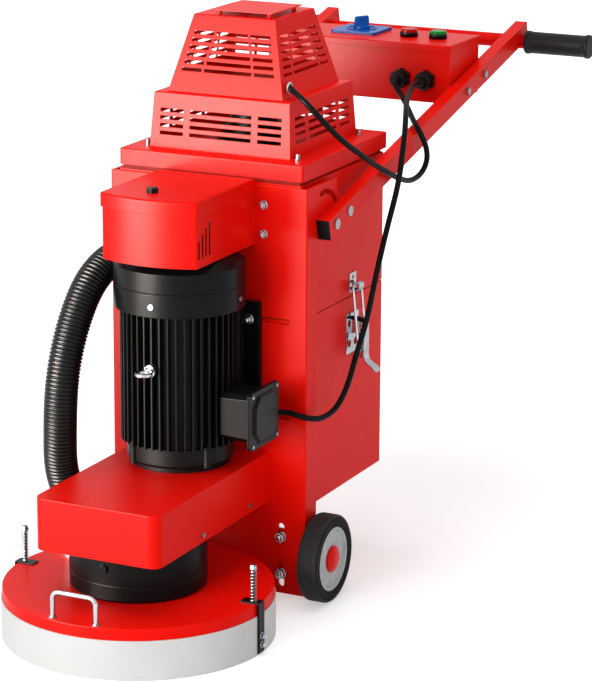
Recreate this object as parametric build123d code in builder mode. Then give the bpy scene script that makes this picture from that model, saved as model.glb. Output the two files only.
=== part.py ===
from build123d import *
import os
from math import cos, radians, sin, sqrt, tan

# Walk-behind electric concrete floor grinder with a built-in dust collector.
# Millimetres. +Z is up, the grinding head faces -Y, the operator stands at +Y.
# The origin is on the floor, in the middle of the machine's length and width.

os.makedirs("parts", exist_ok=True)

# ---------------------------------------------------------------- driving dimensions
# Head
skirt_diameter = 597.0
skirt_wall = 2.5
skirt_height = 88.0
skirt_travel = 15.0
cover_gap = 0.5  # radial gap between the disc cover and the skirt around it
cover_top = 114.0
cover_sheet = 5.0
cover_rim_depth = 50.0
drum_radius = 150.0
drum_wall = 10.0
head_reach = 328.0  # front plate to head axis

# Chassis plate
plate_width = 486.0
plate_top = 941.0
plate_bottom = 10.0
plate_thickness = 8.0
flange_depth = 55.0
handle_reach = 1201.0  # front plate to the rearmost point of the handle

# Belt housing
belt_housing_width = 301.0
belt_housing_bottom = 221.5
belt_housing_top = 337.5
belt_housing_nose = 516.0  # front plate to its front face
belt_housing_wall = 4.0
belt_housing_corner = 25.0

# Motor: a foot-mounted frame, shaft axis vertical
shaft_height = 132.0  # front plate to motor axis
foot_spacing = 216.0
foot_pitch = 217.0  # upper bolts to lower bolts
foot_length = 281.0
foot_width = 52.0
foot_thickness = 14.0
fin_radius = 131.0
fin_root_radius = 112.0
fin_thickness = 3.4
fin_count = 44
shield_radius = 117.0
shield_top = 391.0
cowl_radius = 144.0
cowl_bottom = 692.5
cowl_wall = 2.5
cowl_edge = 788.0  # where its side ends and the slope begins
cowl_crown_radius = 116.0
motor_bore_radius = 95.0
motor_shaft_radius = 19.0

# Cover over the motor's air intake
hood_box_width = 229.0  # cover body, side to side
hood_box_side = 267.0  # front plate to its front corners
hood_box_bulge = 27.0  # how far its front bows out in the middle
hood_box_bottom = 808.5
hood_box_sheet = 2.0
lip_gap = 1.0
intake_lid_bottom = 924.0
intake_lid_top = 955.0

# Filter cabinet and dust bin
side_room = 11.0  # between the plate's flanges and the cabinet
cabinet_width = plate_width - 2 * (plate_thickness + side_room)
cabinet_depth = 432.0
cabinet_sheet = 2.5
bin_bottom = 202.0
seam_height = 641.5
seal_thickness = 3.0
housing_top = 945.0
lid_bottom = 953.0
lid_top = 990.0
lid_lap = 3.0  # past the cabinet on each side
lid_width = cabinet_width + 2 * lid_lap
lid_depth = 441.0
lid_setback = 11.5  # front plate to the lid's front edge

# Ventilated hood over the suction motor
base_bottom_width, base_bottom_depth = 348.0, 344.0
base_top_width, base_top_depth = 334.0, 322.0
base_top = 1113.5
hood_bottom_width, hood_bottom_depth = 284.0, 288.0
hood_top_width, hood_top_depth = 200.0, 195.0
hood_top = 1282.5
hood_sheet = 2.0
hood_setback = 227.5  # front plate to the hood's centre line
slot_height = 8.0
cap_size = 150.0
cap_sheet = 2.5
cap_lift = 10.0
cap_offset = (17.0, -20.0)  # the cap plate sits off the hood's centre

# Wheels
wheel_radius = 100.0
wheel_width = 48.0
rim_radius = 72.5
hub_cap_radius = 31.0
wheel_gap = 10.0  # chassis flange to wheel
axle_radius = 10.0
axle_setback = 29.0
axle_travel = 20.0
axle_bolt_height = 43.0  # above and below the axle
axle_slot_width = 16.0
axle_bolt_x = 183.0

# Handle
arm_angle = 13.6
arm_width = 30.0
arm_height = 45.0
arm_wall = 2.5
arm_gap = 0.3
pivot_setback = 87.0
pivot_height = 852.0
pivot_to_clamp = 68.8
fold_angle = 90.0
arm_front = 38.0  # pivot to the arm's front end
tube_radius = 17.0
tube_reach = 1109.0  # pivot to the cross tube, along the arm
tube_drop = 18.0  # cross tube below the arm's middle
tube_overhang = 10.0  # bare tube between arm and grip
grip_radius = 25.0
grip_length = 167.0

# Control box
box_gap = 1.5  # between the box lid and each arm
box_front = 780.0  # behind the front plate
box_depth = 182.0
box_bottom = 999.0
box_top = 1123.0
box_lid_height = 16.0
box_lid_overhang = 2.0
box_sheet = 2.0

# Cables and hose
cable_radius = 6.5
hose_radius = 37.0

# Fits
running_fit = 0.05
touch_gap = 0.3

# ---------------------------------------------------------------- derived places
skirt_radius = skirt_diameter / 2
overall_length = skirt_radius + head_reach + handle_reach
plate_y = skirt_radius + head_reach - overall_length / 2
head_y = plate_y - head_reach
motor_y = plate_y - shaft_height
plate_back = plate_y + plate_thickness
flange_inner = plate_width / 2 - plate_thickness
cover_radius = skirt_radius - skirt_wall - cover_gap
cabinet_half = cabinet_width / 2
cabinet_back = plate_back + cabinet_depth
hood_y = plate_y + hood_setback
axle_y = plate_y + axle_setback
axle_z = wheel_radius
wheel_inner = plate_width / 2 + wheel_gap
pivot_y = plate_y + pivot_setback
arm_inner = plate_width / 2 + arm_gap
arm_middle = arm_inner + arm_width / 2
arm_outer = arm_inner + arm_width
arm_slope = radians(arm_angle)
arm_back = (handle_reach - pivot_setback - arm_height / 2 * sin(arm_slope)) / cos(arm_slope)
box_y = plate_y + box_front
box_back = box_y + box_depth
box_half = arm_inner - box_gap - box_lid_overhang


def behind(distance):
    """A y value the given distance behind the front plate's face."""
    return plate_y + distance


def ahead(distance):
    """A y value the given distance in front of the front plate's face."""
    return plate_y - distance


def along_arm(distance, rise=0.0):
    """The (y, z) of a point on the arm's side, measured from the handle pivot."""
    y = pivot_y + distance * cos(arm_slope) - rise * sin(arm_slope)
    z = pivot_height + distance * sin(arm_slope) + rise * cos(arm_slope)
    return y, z


def rod(radius, start, end, mode=Mode.ADD):
    """A round bar from one point to another, added to the sub-part in hand."""
    axis = Vector(*end) - Vector(*start)
    with Locations(Plane(origin=start, z_dir=axis.normalized())):
        Cylinder(radius, axis.length, align=(Align.CENTER, Align.CENTER, Align.MIN), mode=mode)


def bore(radius, start, end):
    """A round hole from one point to another."""
    rod(radius, start, end, mode=Mode.SUBTRACT)


def block(x_range, y_range, z_range, mode=Mode.ADD):
    """A box between two values on each axis."""
    size = [high - low for low, high in (x_range, y_range, z_range)]
    middle = [(high + low) / 2 for low, high in (x_range, y_range, z_range)]
    with Locations(tuple(middle)):
        Box(*size, mode=mode)


def cut(x_range, y_range, z_range):
    """A box-shaped cut."""
    block(x_range, y_range, z_range, mode=Mode.SUBTRACT)


def hexagon(across_flats, start, end):
    """A hexagonal bar, such as a bolt head or a nut."""
    axis = Vector(*end) - Vector(*start)
    face = Plane(origin=start, z_dir=axis.normalized())
    with BuildSketch(face, mode=Mode.PRIVATE) as outline:
        RegularPolygon(across_flats / sqrt(3), 6)
    extrude(outline.sketch, amount=axis.length)


def finish_piece(builder, name):
    """Label a finished sub-part and write it to its own file."""
    builder.part.label = name
    export_step(builder.part, f"parts/{name}.step")


# ================================================================ chassis
# A bent steel plate: the front face carries the motor and the belt housing, its side
# flanges carry the cabinet between them, the wheels below and the handle above.
ear_back = 178.0
ear_top_back = 146.0
ear_bottom = 760.0
slot_clearance = 0.6
clamp_bolt_radius = 6.0
bolt_slot_length = 106.0
bolt_slot_middle = 150.0
foot_top_bolt = 641.0
hose_port_x = -176.0
hose_port_z = 770.0
hose_hole_radius = 34.0
wheel_slot_span = 64.0

with BuildPart() as front_plate:
    block((-plate_width / 2, plate_width / 2), (plate_y, plate_back), (plate_bottom, plate_top))
    for side in (-1, 1):
        inner, outer = sorted((side * flange_inner, side * plate_width / 2))
        block((inner, outer), (plate_y, behind(flange_depth)), (plate_bottom, plate_top))
        with BuildSketch(Plane((inner, 0, 0), x_dir=(0, 1, 0), z_dir=(1, 0, 0))):
            with BuildLine():
                Polyline(
                    (plate_back, plate_top),
                    (behind(ear_top_back), plate_top),
                    (behind(ear_back), pivot_height - 8),
                    (behind(ear_back - 22), pivot_height - 48),
                    (behind(flange_depth - 5), ear_bottom),
                    (plate_back, ear_bottom),
                    close=True,
                )
            make_face()
        extrude(amount=plate_thickness)
    # Bend radius along the two front edges
    fillet(front_plate.edges().filter_by(Axis.Z).group_by(Axis.Y)[0], radius=3)
    for side in (-1, 1):
        inner, outer = sorted((side * (flange_inner - 1), side * (plate_width / 2 + 1)))
        # Pivot hole and the arc slot that the clamp bolt travels in
        bore(clamp_bolt_radius + running_fit, (inner, pivot_y, pivot_height),
             (outer, pivot_y, pivot_height))
        with BuildSketch(Plane((inner, 0, 0), x_dir=(0, 1, 0), z_dir=(1, 0, 0))):
            with Locations((pivot_y, pivot_height)):
                with BuildLine(mode=Mode.PRIVATE) as clamp_path:
                    CenterArc((0, 0), pivot_to_clamp, arm_angle, fold_angle)
                SlotArc(clamp_path.edge(), 2 * (clamp_bolt_radius + slot_clearance))
        extrude(amount=plate_thickness + 2, mode=Mode.SUBTRACT)
        # Upright slot for the axle
        with BuildSketch(Plane((inner, 0, 0), x_dir=(0, 1, 0), z_dir=(1, 0, 0))):
            with Locations((axle_y, axle_z)):
                SlotOverall(2 * (axle_radius + axle_travel + slot_clearance),
                            2 * (axle_radius + slot_clearance), rotation=90)
        extrude(amount=plate_thickness + 2, mode=Mode.SUBTRACT)
    # Level slots for the motor's foot bolts, upright slots for the axle bracket's bolts
    with BuildSketch(Plane((0, plate_y - 1, 0), x_dir=(1, 0, 0), z_dir=(0, -1, 0))):
        for z in (foot_top_bolt, foot_top_bolt - foot_pitch):
            with Locations((-bolt_slot_middle, z), (bolt_slot_middle, z)):
                SlotOverall(bolt_slot_length, 14)
        for z in (axle_z - axle_bolt_height, axle_z + axle_bolt_height):
            with Locations((-axle_bolt_x, z), (axle_bolt_x, z)):
                SlotOverall(wheel_slot_span, axle_slot_width, rotation=90)
        with Locations((hose_port_x, hose_port_z)):
            Circle(hose_hole_radius)
    extrude(amount=-plate_thickness - 2, mode=Mode.SUBTRACT)
finish_piece(front_plate, "front_plate")

# ================================================================ wheels and axle
bracket_thickness = 8.0
bracket_half_width = 215.0
bracket_half_height = 59.0
lug_x = 207.0
lug_depth = 44.0
axle_bolt_radius = 6.0

with BuildPart() as axle_bracket:
    block((-bracket_half_width, bracket_half_width), (plate_back, plate_back + bracket_thickness),
          (axle_z - bracket_half_height, axle_z + bracket_half_height))
    for side in (-1, 1):
        inner, outer = sorted((side * (lug_x - 4), side * (lug_x + 4)))
        block((inner, outer), (plate_back, plate_back + lug_depth), (axle_z - 26, axle_z + 26))
    bore(axle_radius + running_fit, (-bracket_half_width, axle_y, axle_z),
         (bracket_half_width, axle_y, axle_z))
    for side in (-1, 1):
        for rise in (-axle_bolt_height, axle_bolt_height):
            bore(axle_bolt_radius + running_fit, (side * axle_bolt_x, plate_y, axle_z + rise),
                 (side * axle_bolt_x, plate_back + 20, axle_z + rise))
finish_piece(axle_bracket, "axle_bracket")

wheel_outer = wheel_inner + wheel_width
hub_cap_depth = 7.0
axle_end = wheel_outer - 6

with BuildPart() as axle:
    rod(axle_radius, (-axle_end, axle_y, axle_z), (axle_end, axle_y, axle_z))
    # Collars that keep each wheel off the chassis, and the bracket's four bolts
    for side in (-1, 1):
        rod(16, (side * (plate_width / 2 + 1), axle_y, axle_z), (side * wheel_inner, axle_y, axle_z))
        for rise in (-axle_bolt_height, axle_bolt_height):
            x, z = side * axle_bolt_x, axle_z + rise
            rod(axle_bolt_radius, (x, plate_y - 11, z), (x, plate_back + bracket_thickness + 14, z))
            rod(12, (x, plate_y - 2, z), (x, plate_y, z))
            hexagon(19, (x, plate_y - 10, z), (x, plate_y - 2, z))
            hexagon(19, (x, plate_back + bracket_thickness, z),
                    (x, plate_back + bracket_thickness + 10, z))
finish_piece(axle, "axle_and_bolts")

# Each wheel: a solid rubber tyre on a pressed steel rim that runs on the axle
wheel_profile_bevel = 4.0


def wheel_plane(side):
    """Drawing plane through a wheel's axis: x runs outward from the wheel's inner face."""
    return Plane((side * wheel_inner, axle_y, axle_z), x_dir=(side, 0, 0), z_dir=(0, -side, 0))


for side, where in ((-1, "left"), (1, "right")):
    with BuildPart() as tyre:
        with BuildSketch(wheel_plane(side)):
            with BuildLine():
                Polyline(
                    (0, rim_radius + running_fit),
                    (0, wheel_radius - 9),
                    (5, wheel_radius - 2),
                    (10, wheel_radius),
                    (wheel_width - 10, wheel_radius),
                    (wheel_width - 5, wheel_radius - 2),
                    (wheel_width, wheel_radius - 9),
                    (wheel_width, rim_radius + running_fit),
                    close=True,
                )
            make_face()
        revolve(axis=Axis((side * wheel_inner, axle_y, axle_z), (side, 0, 0)))
    finish_piece(tyre, f"tyre_{where}")
    with BuildPart() as rim:
        with BuildSketch(wheel_plane(side)):
            with BuildLine():
                Polyline(
                    (0, axle_radius + running_fit),
                    (0, 24),
                    (18, 26),
                    (30, rim_radius - 12),
                    (2, rim_radius - 6),
                    (2, rim_radius),
                    (wheel_width - 2, rim_radius),
                    (wheel_width - 2, rim_radius - 5),
                    (wheel_width - 8, rim_radius - 10),
                    (wheel_width - 5, hub_cap_radius + 6),
                    (wheel_width - 6, hub_cap_radius),
                    (wheel_width - 6, axle_radius + running_fit),
                    close=True,
                )
            make_face()
        revolve(axis=Axis((side * wheel_inner, axle_y, axle_z), (side, 0, 0)))
    finish_piece(rim, f"rim_{where}")

with BuildPart() as hub_caps:
    for side in (-1, 1):
        with BuildSketch(wheel_plane(side)):
            with BuildLine():
                Polyline((wheel_width - 5.7, 0), (wheel_width + hub_cap_depth, 0))
                ThreePointArc((wheel_width + hub_cap_depth, 0), (wheel_width + 5, 18),
                              (wheel_width - 1, hub_cap_radius - 1))
                Polyline((wheel_width - 1, hub_cap_radius - 1),
                         (wheel_width - 5.7, hub_cap_radius - 1), (wheel_width - 5.7, 0))
            make_face()
        revolve(axis=Axis((side * wheel_inner, axle_y, axle_z), (side, 0, 0)))
finish_piece(hub_caps, "hub_caps")

# ================================================================ grinding head
# A floating skirt hangs round a steel disc cover. The gear drum stands on the cover, and
# under it a carrier turns three planet heads, whose gears walk round a fixed sun gear.
cover_under = cover_top - cover_sheet
rim_wall = 4.0
sun_hub_radius = 44.0
cover_hole = 45.0
spring_bolt_x = 282.0
spring_bolt_y = ahead(head_reach + 6)
spring_bolt_radius = 4.0
spring_bolt_top = 190.0
spring_radius = 7.5
washer_thickness = 2.0
bracket_sheet = 3.0
bracket_width = 26.0
port_x = -212.0
port_y = ahead(222)
port_height = 36.0
port_radius = 33.0
port_flange = 42.0
lift_handle_half = 52.0
lift_handle_y = ahead(606)
lift_handle_rod = 5.5
lift_handle_height = 58.0

with BuildPart() as disc_cover:
    with BuildSketch(Plane.XY.offset(cover_under)):
        with Locations((0, head_y)):
            Circle(cover_radius)
    extrude(amount=cover_sheet)
    with BuildSketch(Plane.XY.offset(cover_under - cover_rim_depth)):
        with Locations((0, head_y)):
            Circle(cover_radius)
            Circle(cover_radius - rim_wall, mode=Mode.SUBTRACT)
    extrude(amount=cover_rim_depth)
    fillet(disc_cover.edges().group_by(Axis.Z)[-1], radius=2)
    bore(cover_hole, (0, head_y, cover_under - 1), (0, head_y, cover_top + 1))
    bore(port_radius - 3, (port_x, port_y, cover_under - 1), (port_x, port_y, cover_top + 1))
    for side in (-1, 1):
        bore(spring_bolt_radius + running_fit, (side * spring_bolt_x, spring_bolt_y, cover_under - 1),
             (side * spring_bolt_x, spring_bolt_y, cover_top + 1))
finish_piece(disc_cover, "disc_cover")

with BuildPart() as skirt:
    with BuildSketch():
        with Locations((0, head_y)):
            Circle(skirt_radius)
            Circle(skirt_radius - skirt_wall, mode=Mode.SUBTRACT)
    extrude(amount=skirt_height)
finish_piece(skirt, "skirt")

strap_inner = sqrt(skirt_radius**2 - (spring_bolt_y - head_y) ** 2) + touch_gap + 0.4
with BuildPart() as skirt_brackets:
    for side in (-1, 1):
        inner, outer = sorted((side * strap_inner, side * (strap_inner + bracket_sheet)))
        block((inner, outer), (spring_bolt_y - bracket_width / 2, spring_bolt_y + bracket_width / 2),
              (4, cover_top + bracket_sheet))
        inner, outer = sorted((side * (spring_bolt_x - 26), side * (strap_inner + bracket_sheet)))
        block((inner, outer), (spring_bolt_y - bracket_width / 2, spring_bolt_y + bracket_width / 2),
              (cover_top, cover_top + bracket_sheet))
        bore(spring_bolt_radius + 0.6, (side * spring_bolt_x, spring_bolt_y, cover_top - 1),
             (side * spring_bolt_x, spring_bolt_y, cover_top + bracket_sheet + 1))
        # Two screws hold the strap to the skirt
        for z in (22, 42):
            rod(5.5, (side * (strap_inner + bracket_sheet), spring_bolt_y, z),
                (side * (strap_inner + bracket_sheet + 4), spring_bolt_y, z))
finish_piece(skirt_brackets, "skirt_brackets")

spring_foot = cover_top + bracket_sheet + 0.1
with BuildPart() as skirt_springs:
    for side in (-1, 1):
        with BuildSketch(Plane.XY.offset(spring_foot)):
            with Locations((side * spring_bolt_x, spring_bolt_y)):
                Circle(spring_radius)
                Circle(spring_bolt_radius + 0.8, mode=Mode.SUBTRACT)
        extrude(amount=spring_bolt_top - spring_foot - 0.1)
finish_piece(skirt_springs, "skirt_springs")


spindle_radius = 25.0
bearing_radius = 40.0
bearing_height = 20.0
spindle_bottom = 50.0
spindle_top = 326.0
drum_top = belt_housing_bottom
drum_groove = 151.0

# Straight-sided gear teeth with enough backlash to roll past each other
gear_module = 5.0
sun_teeth = 24
planet_teeth = 36
sun_pitch_radius = gear_module * sun_teeth / 2
planet_pitch_radius = gear_module * planet_teeth / 2
planet_orbit = sun_pitch_radius + planet_pitch_radius
gear_bottom = 78.0
gear_height = 18.0


def gear_outline(teeth, start_angle):
    """The points round a gear whose first tooth points at start_angle."""
    pitch = 360 / teeth
    root = gear_module * (teeth / 2 - 1.1)
    tip = gear_module * (teeth / 2 + 0.7)
    points = []
    for tooth in range(teeth):
        middle = start_angle + tooth * pitch
        for radius, share in ((root, -0.3), (tip, -0.1), (tip, 0.1), (root, 0.3)):
            angle = radians(middle + share * pitch)
            points.append((radius * cos(angle), radius * sin(angle)))
    return points


with BuildPart() as gear_drum:
    with BuildSketch(Plane((0, head_y, 0), x_dir=(1, 0, 0), z_dir=(0, -1, 0))):
        with BuildLine():
            Polyline(
                (bearing_radius, cover_top),
                (drum_radius - 6, cover_top),
                (drum_radius, cover_top + 6),
                (drum_radius, drum_groove),
                (drum_radius - 1.5, drum_groove + 1.5),
                (drum_radius, drum_groove + 3),
                (drum_radius, drum_top),
                (bearing_radius, drum_top),
                (bearing_radius, drum_top - bearing_height),
                (bearing_radius + 12, drum_top - bearing_height),
                (bearing_radius + 12, drum_top - drum_wall),
                (drum_radius - drum_wall, drum_top - drum_wall),
                (drum_radius - drum_wall, cover_top + drum_wall),
                (bearing_radius + 12, cover_top + drum_wall),
                (bearing_radius + 12, cover_top + bearing_height),
                (bearing_radius, cover_top + bearing_height),
                close=True,
            )
        make_face()
    revolve(axis=Axis((0, head_y, 0), (0, 0, 1)))
    # Oil filler plug on the front
    hexagon(17, (0, head_y - drum_radius + 2, 190), (0, head_y - drum_radius - 7, 190))
    # The sun gear is bolted under the drum, through the disc cover's middle hole
    with BuildSketch(Plane.XY.offset(gear_bottom)):
        with Locations((0, head_y)):
            Polygon(*gear_outline(sun_teeth, 0), align=None)
    extrude(amount=gear_height)
    with BuildSketch(Plane.XY.offset(gear_bottom + gear_height)):
        with Locations((0, head_y)):
            Circle(sun_hub_radius)
    extrude(amount=cover_top - running_fit - gear_bottom - gear_height)
    bore(spindle_radius + 4, (0, head_y, gear_bottom - 1), (0, head_y, cover_top + 1))
finish_piece(gear_drum, "gear_drum")

carrier_bottom = 50.0
carrier_thickness = 22.0
planet_shaft_radius = 15.0
planet_angles = (90, 210, 330)
plate_bottom_face = 14.0
planet_plate_thickness = 12.0
planet_plate_radius = 118.0

with BuildPart() as planet_carrier:
    with BuildSketch(Plane.XY.offset(carrier_bottom)):
        with Locations((0, head_y)):
            Circle(92)
            for angle in planet_angles:
                with Locations(Rotation(0, 0, angle)):
                    with Locations((planet_orbit / 2, 0)):
                        Rectangle(planet_orbit, 90)
                    with Locations((planet_orbit, 0)):
                        Circle(45)
            Circle(spindle_radius, mode=Mode.SUBTRACT)
    extrude(amount=carrier_thickness)
    for angle in planet_angles:
        x = planet_orbit * cos(radians(angle))
        y = head_y + planet_orbit * sin(radians(angle))
        bore(planet_shaft_radius + running_fit, (x, y, carrier_bottom - 1),
             (x, y, carrier_bottom + carrier_thickness + 1))
finish_piece(planet_carrier, "planet_carrier")

for number, angle in enumerate(planet_angles, start=1):
    x = planet_orbit * cos(radians(angle))
    y = head_y + planet_orbit * sin(radians(angle))
    gear_start = angle + 180 + 180 / planet_teeth
    plate_top_face = plate_bottom_face + planet_plate_thickness
    with BuildPart() as planet_head:
        with BuildSketch(Plane.XY.offset(plate_bottom_face)):
            with Locations((x, y)):
                Circle(planet_plate_radius)
        extrude(amount=planet_plate_thickness)
        # Diamond segments, six to a head, stand on the floor
        with BuildSketch():
            with Locations((x, y)):
                for segment in range(6):
                    with Locations(Rotation(0, 0, angle + 30 + 60 * segment)):
                        with Locations((planet_plate_radius - 22, 0)):
                            Rectangle(18, 54)
        extrude(amount=plate_bottom_face)
        rod(30, (x, y, plate_top_face), (x, y, carrier_bottom - touch_gap))
        rod(planet_shaft_radius, (x, y, plate_top_face), (x, y, gear_bottom))
        with BuildSketch(Plane.XY.offset(gear_bottom)):
            with Locations((x, y)):
                Polygon(*gear_outline(planet_teeth, gear_start), align=None)
        extrude(amount=gear_height)
    finish_piece(planet_head, f"planet_head_{number}")

# ================================================================ belt drive
pulley_bottom = 244.0
pulley_height = 72.0
drive_pulley_radius = 60.0
driven_pulley_radius = 112.0
groove_depth = 10.0
belt_count = 3
belt_height = 11.0
belt_pitch = 22.0
belt_thickness = 9.0


def pulley_outline(hub_radius, rim):
    """Half section of a grooved pulley, x outward from its axis."""
    points = [(hub_radius, pulley_bottom)]
    for groove in range(belt_count):
        middle = pulley_bottom + pulley_height / 2 + (groove - (belt_count - 1) / 2) * belt_pitch
        half = belt_height / 2 + 1
        points += [(rim, middle - half - 2), (rim - groove_depth, middle - half + 1),
                   (rim - groove_depth, middle + half - 1), (rim, middle + half + 2)]
    top = pulley_bottom + pulley_height
    return [points[0], (rim, pulley_bottom)] + points[1:] + [(rim, top), (hub_radius, top)]


with BuildPart() as drive_pulley:
    with BuildSketch(Plane((0, motor_y, 0), x_dir=(1, 0, 0), z_dir=(0, -1, 0))):
        with BuildLine():
            Polyline(*pulley_outline(motor_shaft_radius, drive_pulley_radius), close=True)
        make_face()
    revolve(axis=Axis((0, motor_y, 0), (0, 0, 1)))
finish_piece(drive_pulley, "drive_pulley")

with BuildPart() as drive_belts:
    belt_seat = touch_gap - groove_depth
    for belt in range(belt_count):
        middle = pulley_bottom + pulley_height / 2 + (belt - (belt_count - 1) / 2) * belt_pitch
        for reach, mode in ((belt_seat + belt_thickness, Mode.ADD), (belt_seat, Mode.SUBTRACT)):
            with BuildSketch(Plane.XY.offset(middle - belt_height / 2 + 1)):
                with Locations((0, head_y)):
                    Circle(driven_pulley_radius + reach)
                with Locations((0, motor_y)):
                    Circle(drive_pulley_radius + reach)
                make_hull()
            extrude(amount=belt_height - 2, mode=mode)
finish_piece(drive_belts, "drive_belts")

with BuildPart() as head_spindle:
    rod(spindle_radius, (0, head_y, spindle_bottom), (0, head_y, spindle_top))
    hexagon(46, (0, head_y, carrier_bottom - 12), (0, head_y, carrier_bottom))
    with BuildSketch(Plane((0, head_y, 0), x_dir=(1, 0, 0), z_dir=(0, -1, 0))):
        with BuildLine():
            Polyline(*pulley_outline(spindle_radius + running_fit, driven_pulley_radius), close=True)
        make_face()
    revolve(axis=Axis((0, head_y, 0), (0, 0, 1)))
finish_piece(head_spindle, "head_spindle")

housing_half = belt_housing_width / 2
with BuildPart() as belt_housing:
    block((-housing_half, housing_half), (ahead(belt_housing_nose), plate_y),
          (belt_housing_bottom, belt_housing_top))
    front_edges = belt_housing.edges().filter_by(Axis.Z).group_by(Axis.Y)[0]
    fillet(front_edges, radius=belt_housing_corner)
    fillet(belt_housing.edges().group_by(Axis.Z)[-1].group_by(Axis.Y)[:-1], radius=2)
    with BuildSketch(Plane.XY.offset(belt_housing_bottom + belt_housing_wall)):
        wall = belt_housing_wall
        with Locations((0, plate_y - belt_housing_nose / 2)):
            Rectangle(belt_housing_width - 2 * wall, belt_housing_nose - 2 * wall)
        fillet(vertices().group_by(Axis.Y)[0], radius=belt_housing_corner - wall)
    extrude(amount=belt_housing_top - belt_housing_bottom - 2 * wall, mode=Mode.SUBTRACT)
    bore(bearing_radius + 6, (0, head_y, belt_housing_bottom - 1),
         (0, head_y, belt_housing_bottom + wall + 1))
    bore(45, (0, motor_y, belt_housing_top - wall - 1), (0, motor_y, belt_housing_top + 1))
finish_piece(belt_housing, "belt_housing")

# ================================================================ motor
shield_bottom = 348.0
spigot_radius = 108.0
fin_top = 700.0
housing_end = 704.0
boss_radius = 14.0
lug_radius = 9.0
lug_angles = (-32, 58, 148, 238)
eye_height = 572.0
eye_radius = 15.0
eye_rod = 5.0
stator_radius = 78.0
stator_bottom = 420.0
stator_top = 640.0
rotor_radius = 75.0
fan_radius = 115.0
fan_bottom = 722.0
fan_height = 38.0
shaft_top = 775.0
shaft_bottom = 240.0
lower_bearing = belt_housing_top
upper_bearing = housing_end - bearing_height

with BuildPart() as motor_housing:
    with BuildSketch(Plane((0, motor_y, 0), x_dir=(1, 0, 0), z_dir=(0, -1, 0))):
        with BuildLine():
            Polyline(
                (bearing_radius, belt_housing_top),
                (spigot_radius, belt_housing_top),
                (spigot_radius, shield_bottom),
                (shield_radius - 4, shield_bottom),
                (shield_radius, shield_bottom + 6),
                (shield_radius, shield_top),
                (fin_root_radius, shield_top),
                (fin_root_radius, housing_end),
                (bearing_radius, housing_end),
                (bearing_radius, upper_bearing),
                (bearing_radius + 20, upper_bearing - 8),
                (motor_bore_radius, upper_bearing - 8),
                (motor_bore_radius, shield_bottom + 26),
                (bearing_radius + 20, shield_bottom + 26),
                (bearing_radius, lower_bearing + bearing_height),
                close=True,
            )
        make_face()
    revolve(axis=Axis((0, motor_y, 0), (0, 0, 1)))
    with BuildSketch(Plane.XY.offset(shield_top)):
        with Locations((0, motor_y)):
            with PolarLocations((fin_root_radius - 4 + fin_radius) / 2, fin_count):
                Rectangle(fin_radius - fin_root_radius + 4, fin_thickness)
            Circle(fin_root_radius - 4, mode=Mode.SUBTRACT)
    extrude(amount=fin_top - shield_top)
    for angle in lug_angles:
        x = shield_radius * cos(radians(angle))
        y = motor_y + shield_radius * sin(radians(angle))
        rod(lug_radius, (x, y, shield_bottom), (x, y, shield_top + 6))
    for side in (-1, 1):
        middle = side * foot_spacing / 2
        block((middle - foot_width / 2, middle + foot_width / 2), (ahead(foot_thickness), plate_y),
              (400, 400 + foot_length))
        block(sorted((side * 84, side * 96)), (motor_y + 46, ahead(foot_thickness / 2)),
              (404, 396 + foot_length))
        for z in (foot_top_bolt, foot_top_bolt - foot_pitch):
            bore(clamp_bolt_radius - 0.5, (middle, ahead(foot_thickness + 1), z), (middle, plate_y + 1, z))
    # Seat of the terminal box on the side, boss of the lifting eye in front
    block((100, fin_radius), (motor_y - 36, motor_y + 36), (420, 505))
    rod(boss_radius, (0, motor_y - fin_root_radius + 4, eye_height), (0, motor_y - fin_radius - 1, eye_height))
finish_piece(motor_housing, "motor_housing")

cowl_groove = 744.0
cowl_top = hood_box_bottom - touch_gap
cowl_mouth = 70.0
with BuildPart() as motor_cowl:
    with BuildSketch(Plane((0, motor_y, 0), x_dir=(1, 0, 0), z_dir=(0, -1, 0))):
        with BuildLine():
            Polyline(
                (cowl_radius - cowl_wall, cowl_bottom),
                (cowl_radius, cowl_bottom),
                (cowl_radius, cowl_groove - 2),
                (cowl_radius - 1.2, cowl_groove),
                (cowl_radius, cowl_groove + 2),
                (cowl_radius, cowl_edge),
                (cowl_crown_radius - 3, cowl_top),
                (cowl_mouth, cowl_top),
                (cowl_mouth, cowl_top - cowl_wall),
                (cowl_crown_radius - 4, cowl_top - cowl_wall),
                (cowl_radius - cowl_wall, cowl_edge - 1),
                close=True,
            )
        make_face()
    revolve(axis=Axis((0, motor_y, 0), (0, 0, 1)))
    # Tabs that carry it on the motor's fins
    with BuildSketch(Plane.XY.offset(cowl_bottom)):
        with Locations((0, motor_y)):
            with PolarLocations((fin_radius + cowl_radius) / 2 - 1, 4, start_angle=45):
                Rectangle(cowl_radius - fin_radius - 2, 16)
    extrude(amount=6)
    # Its back is flat where it meets the front plate
    cut((-cowl_radius, cowl_radius), (plate_y - touch_gap, plate_y + cowl_radius), (cowl_bottom - 1, cowl_top + 1))
finish_piece(motor_cowl, "motor_cowl")

with BuildPart() as stator:
    for radius, mode in ((motor_bore_radius - running_fit, Mode.ADD), (stator_radius, Mode.SUBTRACT)):
        rod(radius, (0, motor_y, stator_bottom), (0, motor_y, stator_top), mode=mode)
    for start, end in ((stator_bottom - 22, stator_bottom), (stator_top, stator_top + 18)):
        rod(motor_bore_radius - 4, (0, motor_y, start), (0, motor_y, end))
        bore(stator_radius, (0, motor_y, start - 1), (0, motor_y, end + 1))
finish_piece(stator, "stator")

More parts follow.
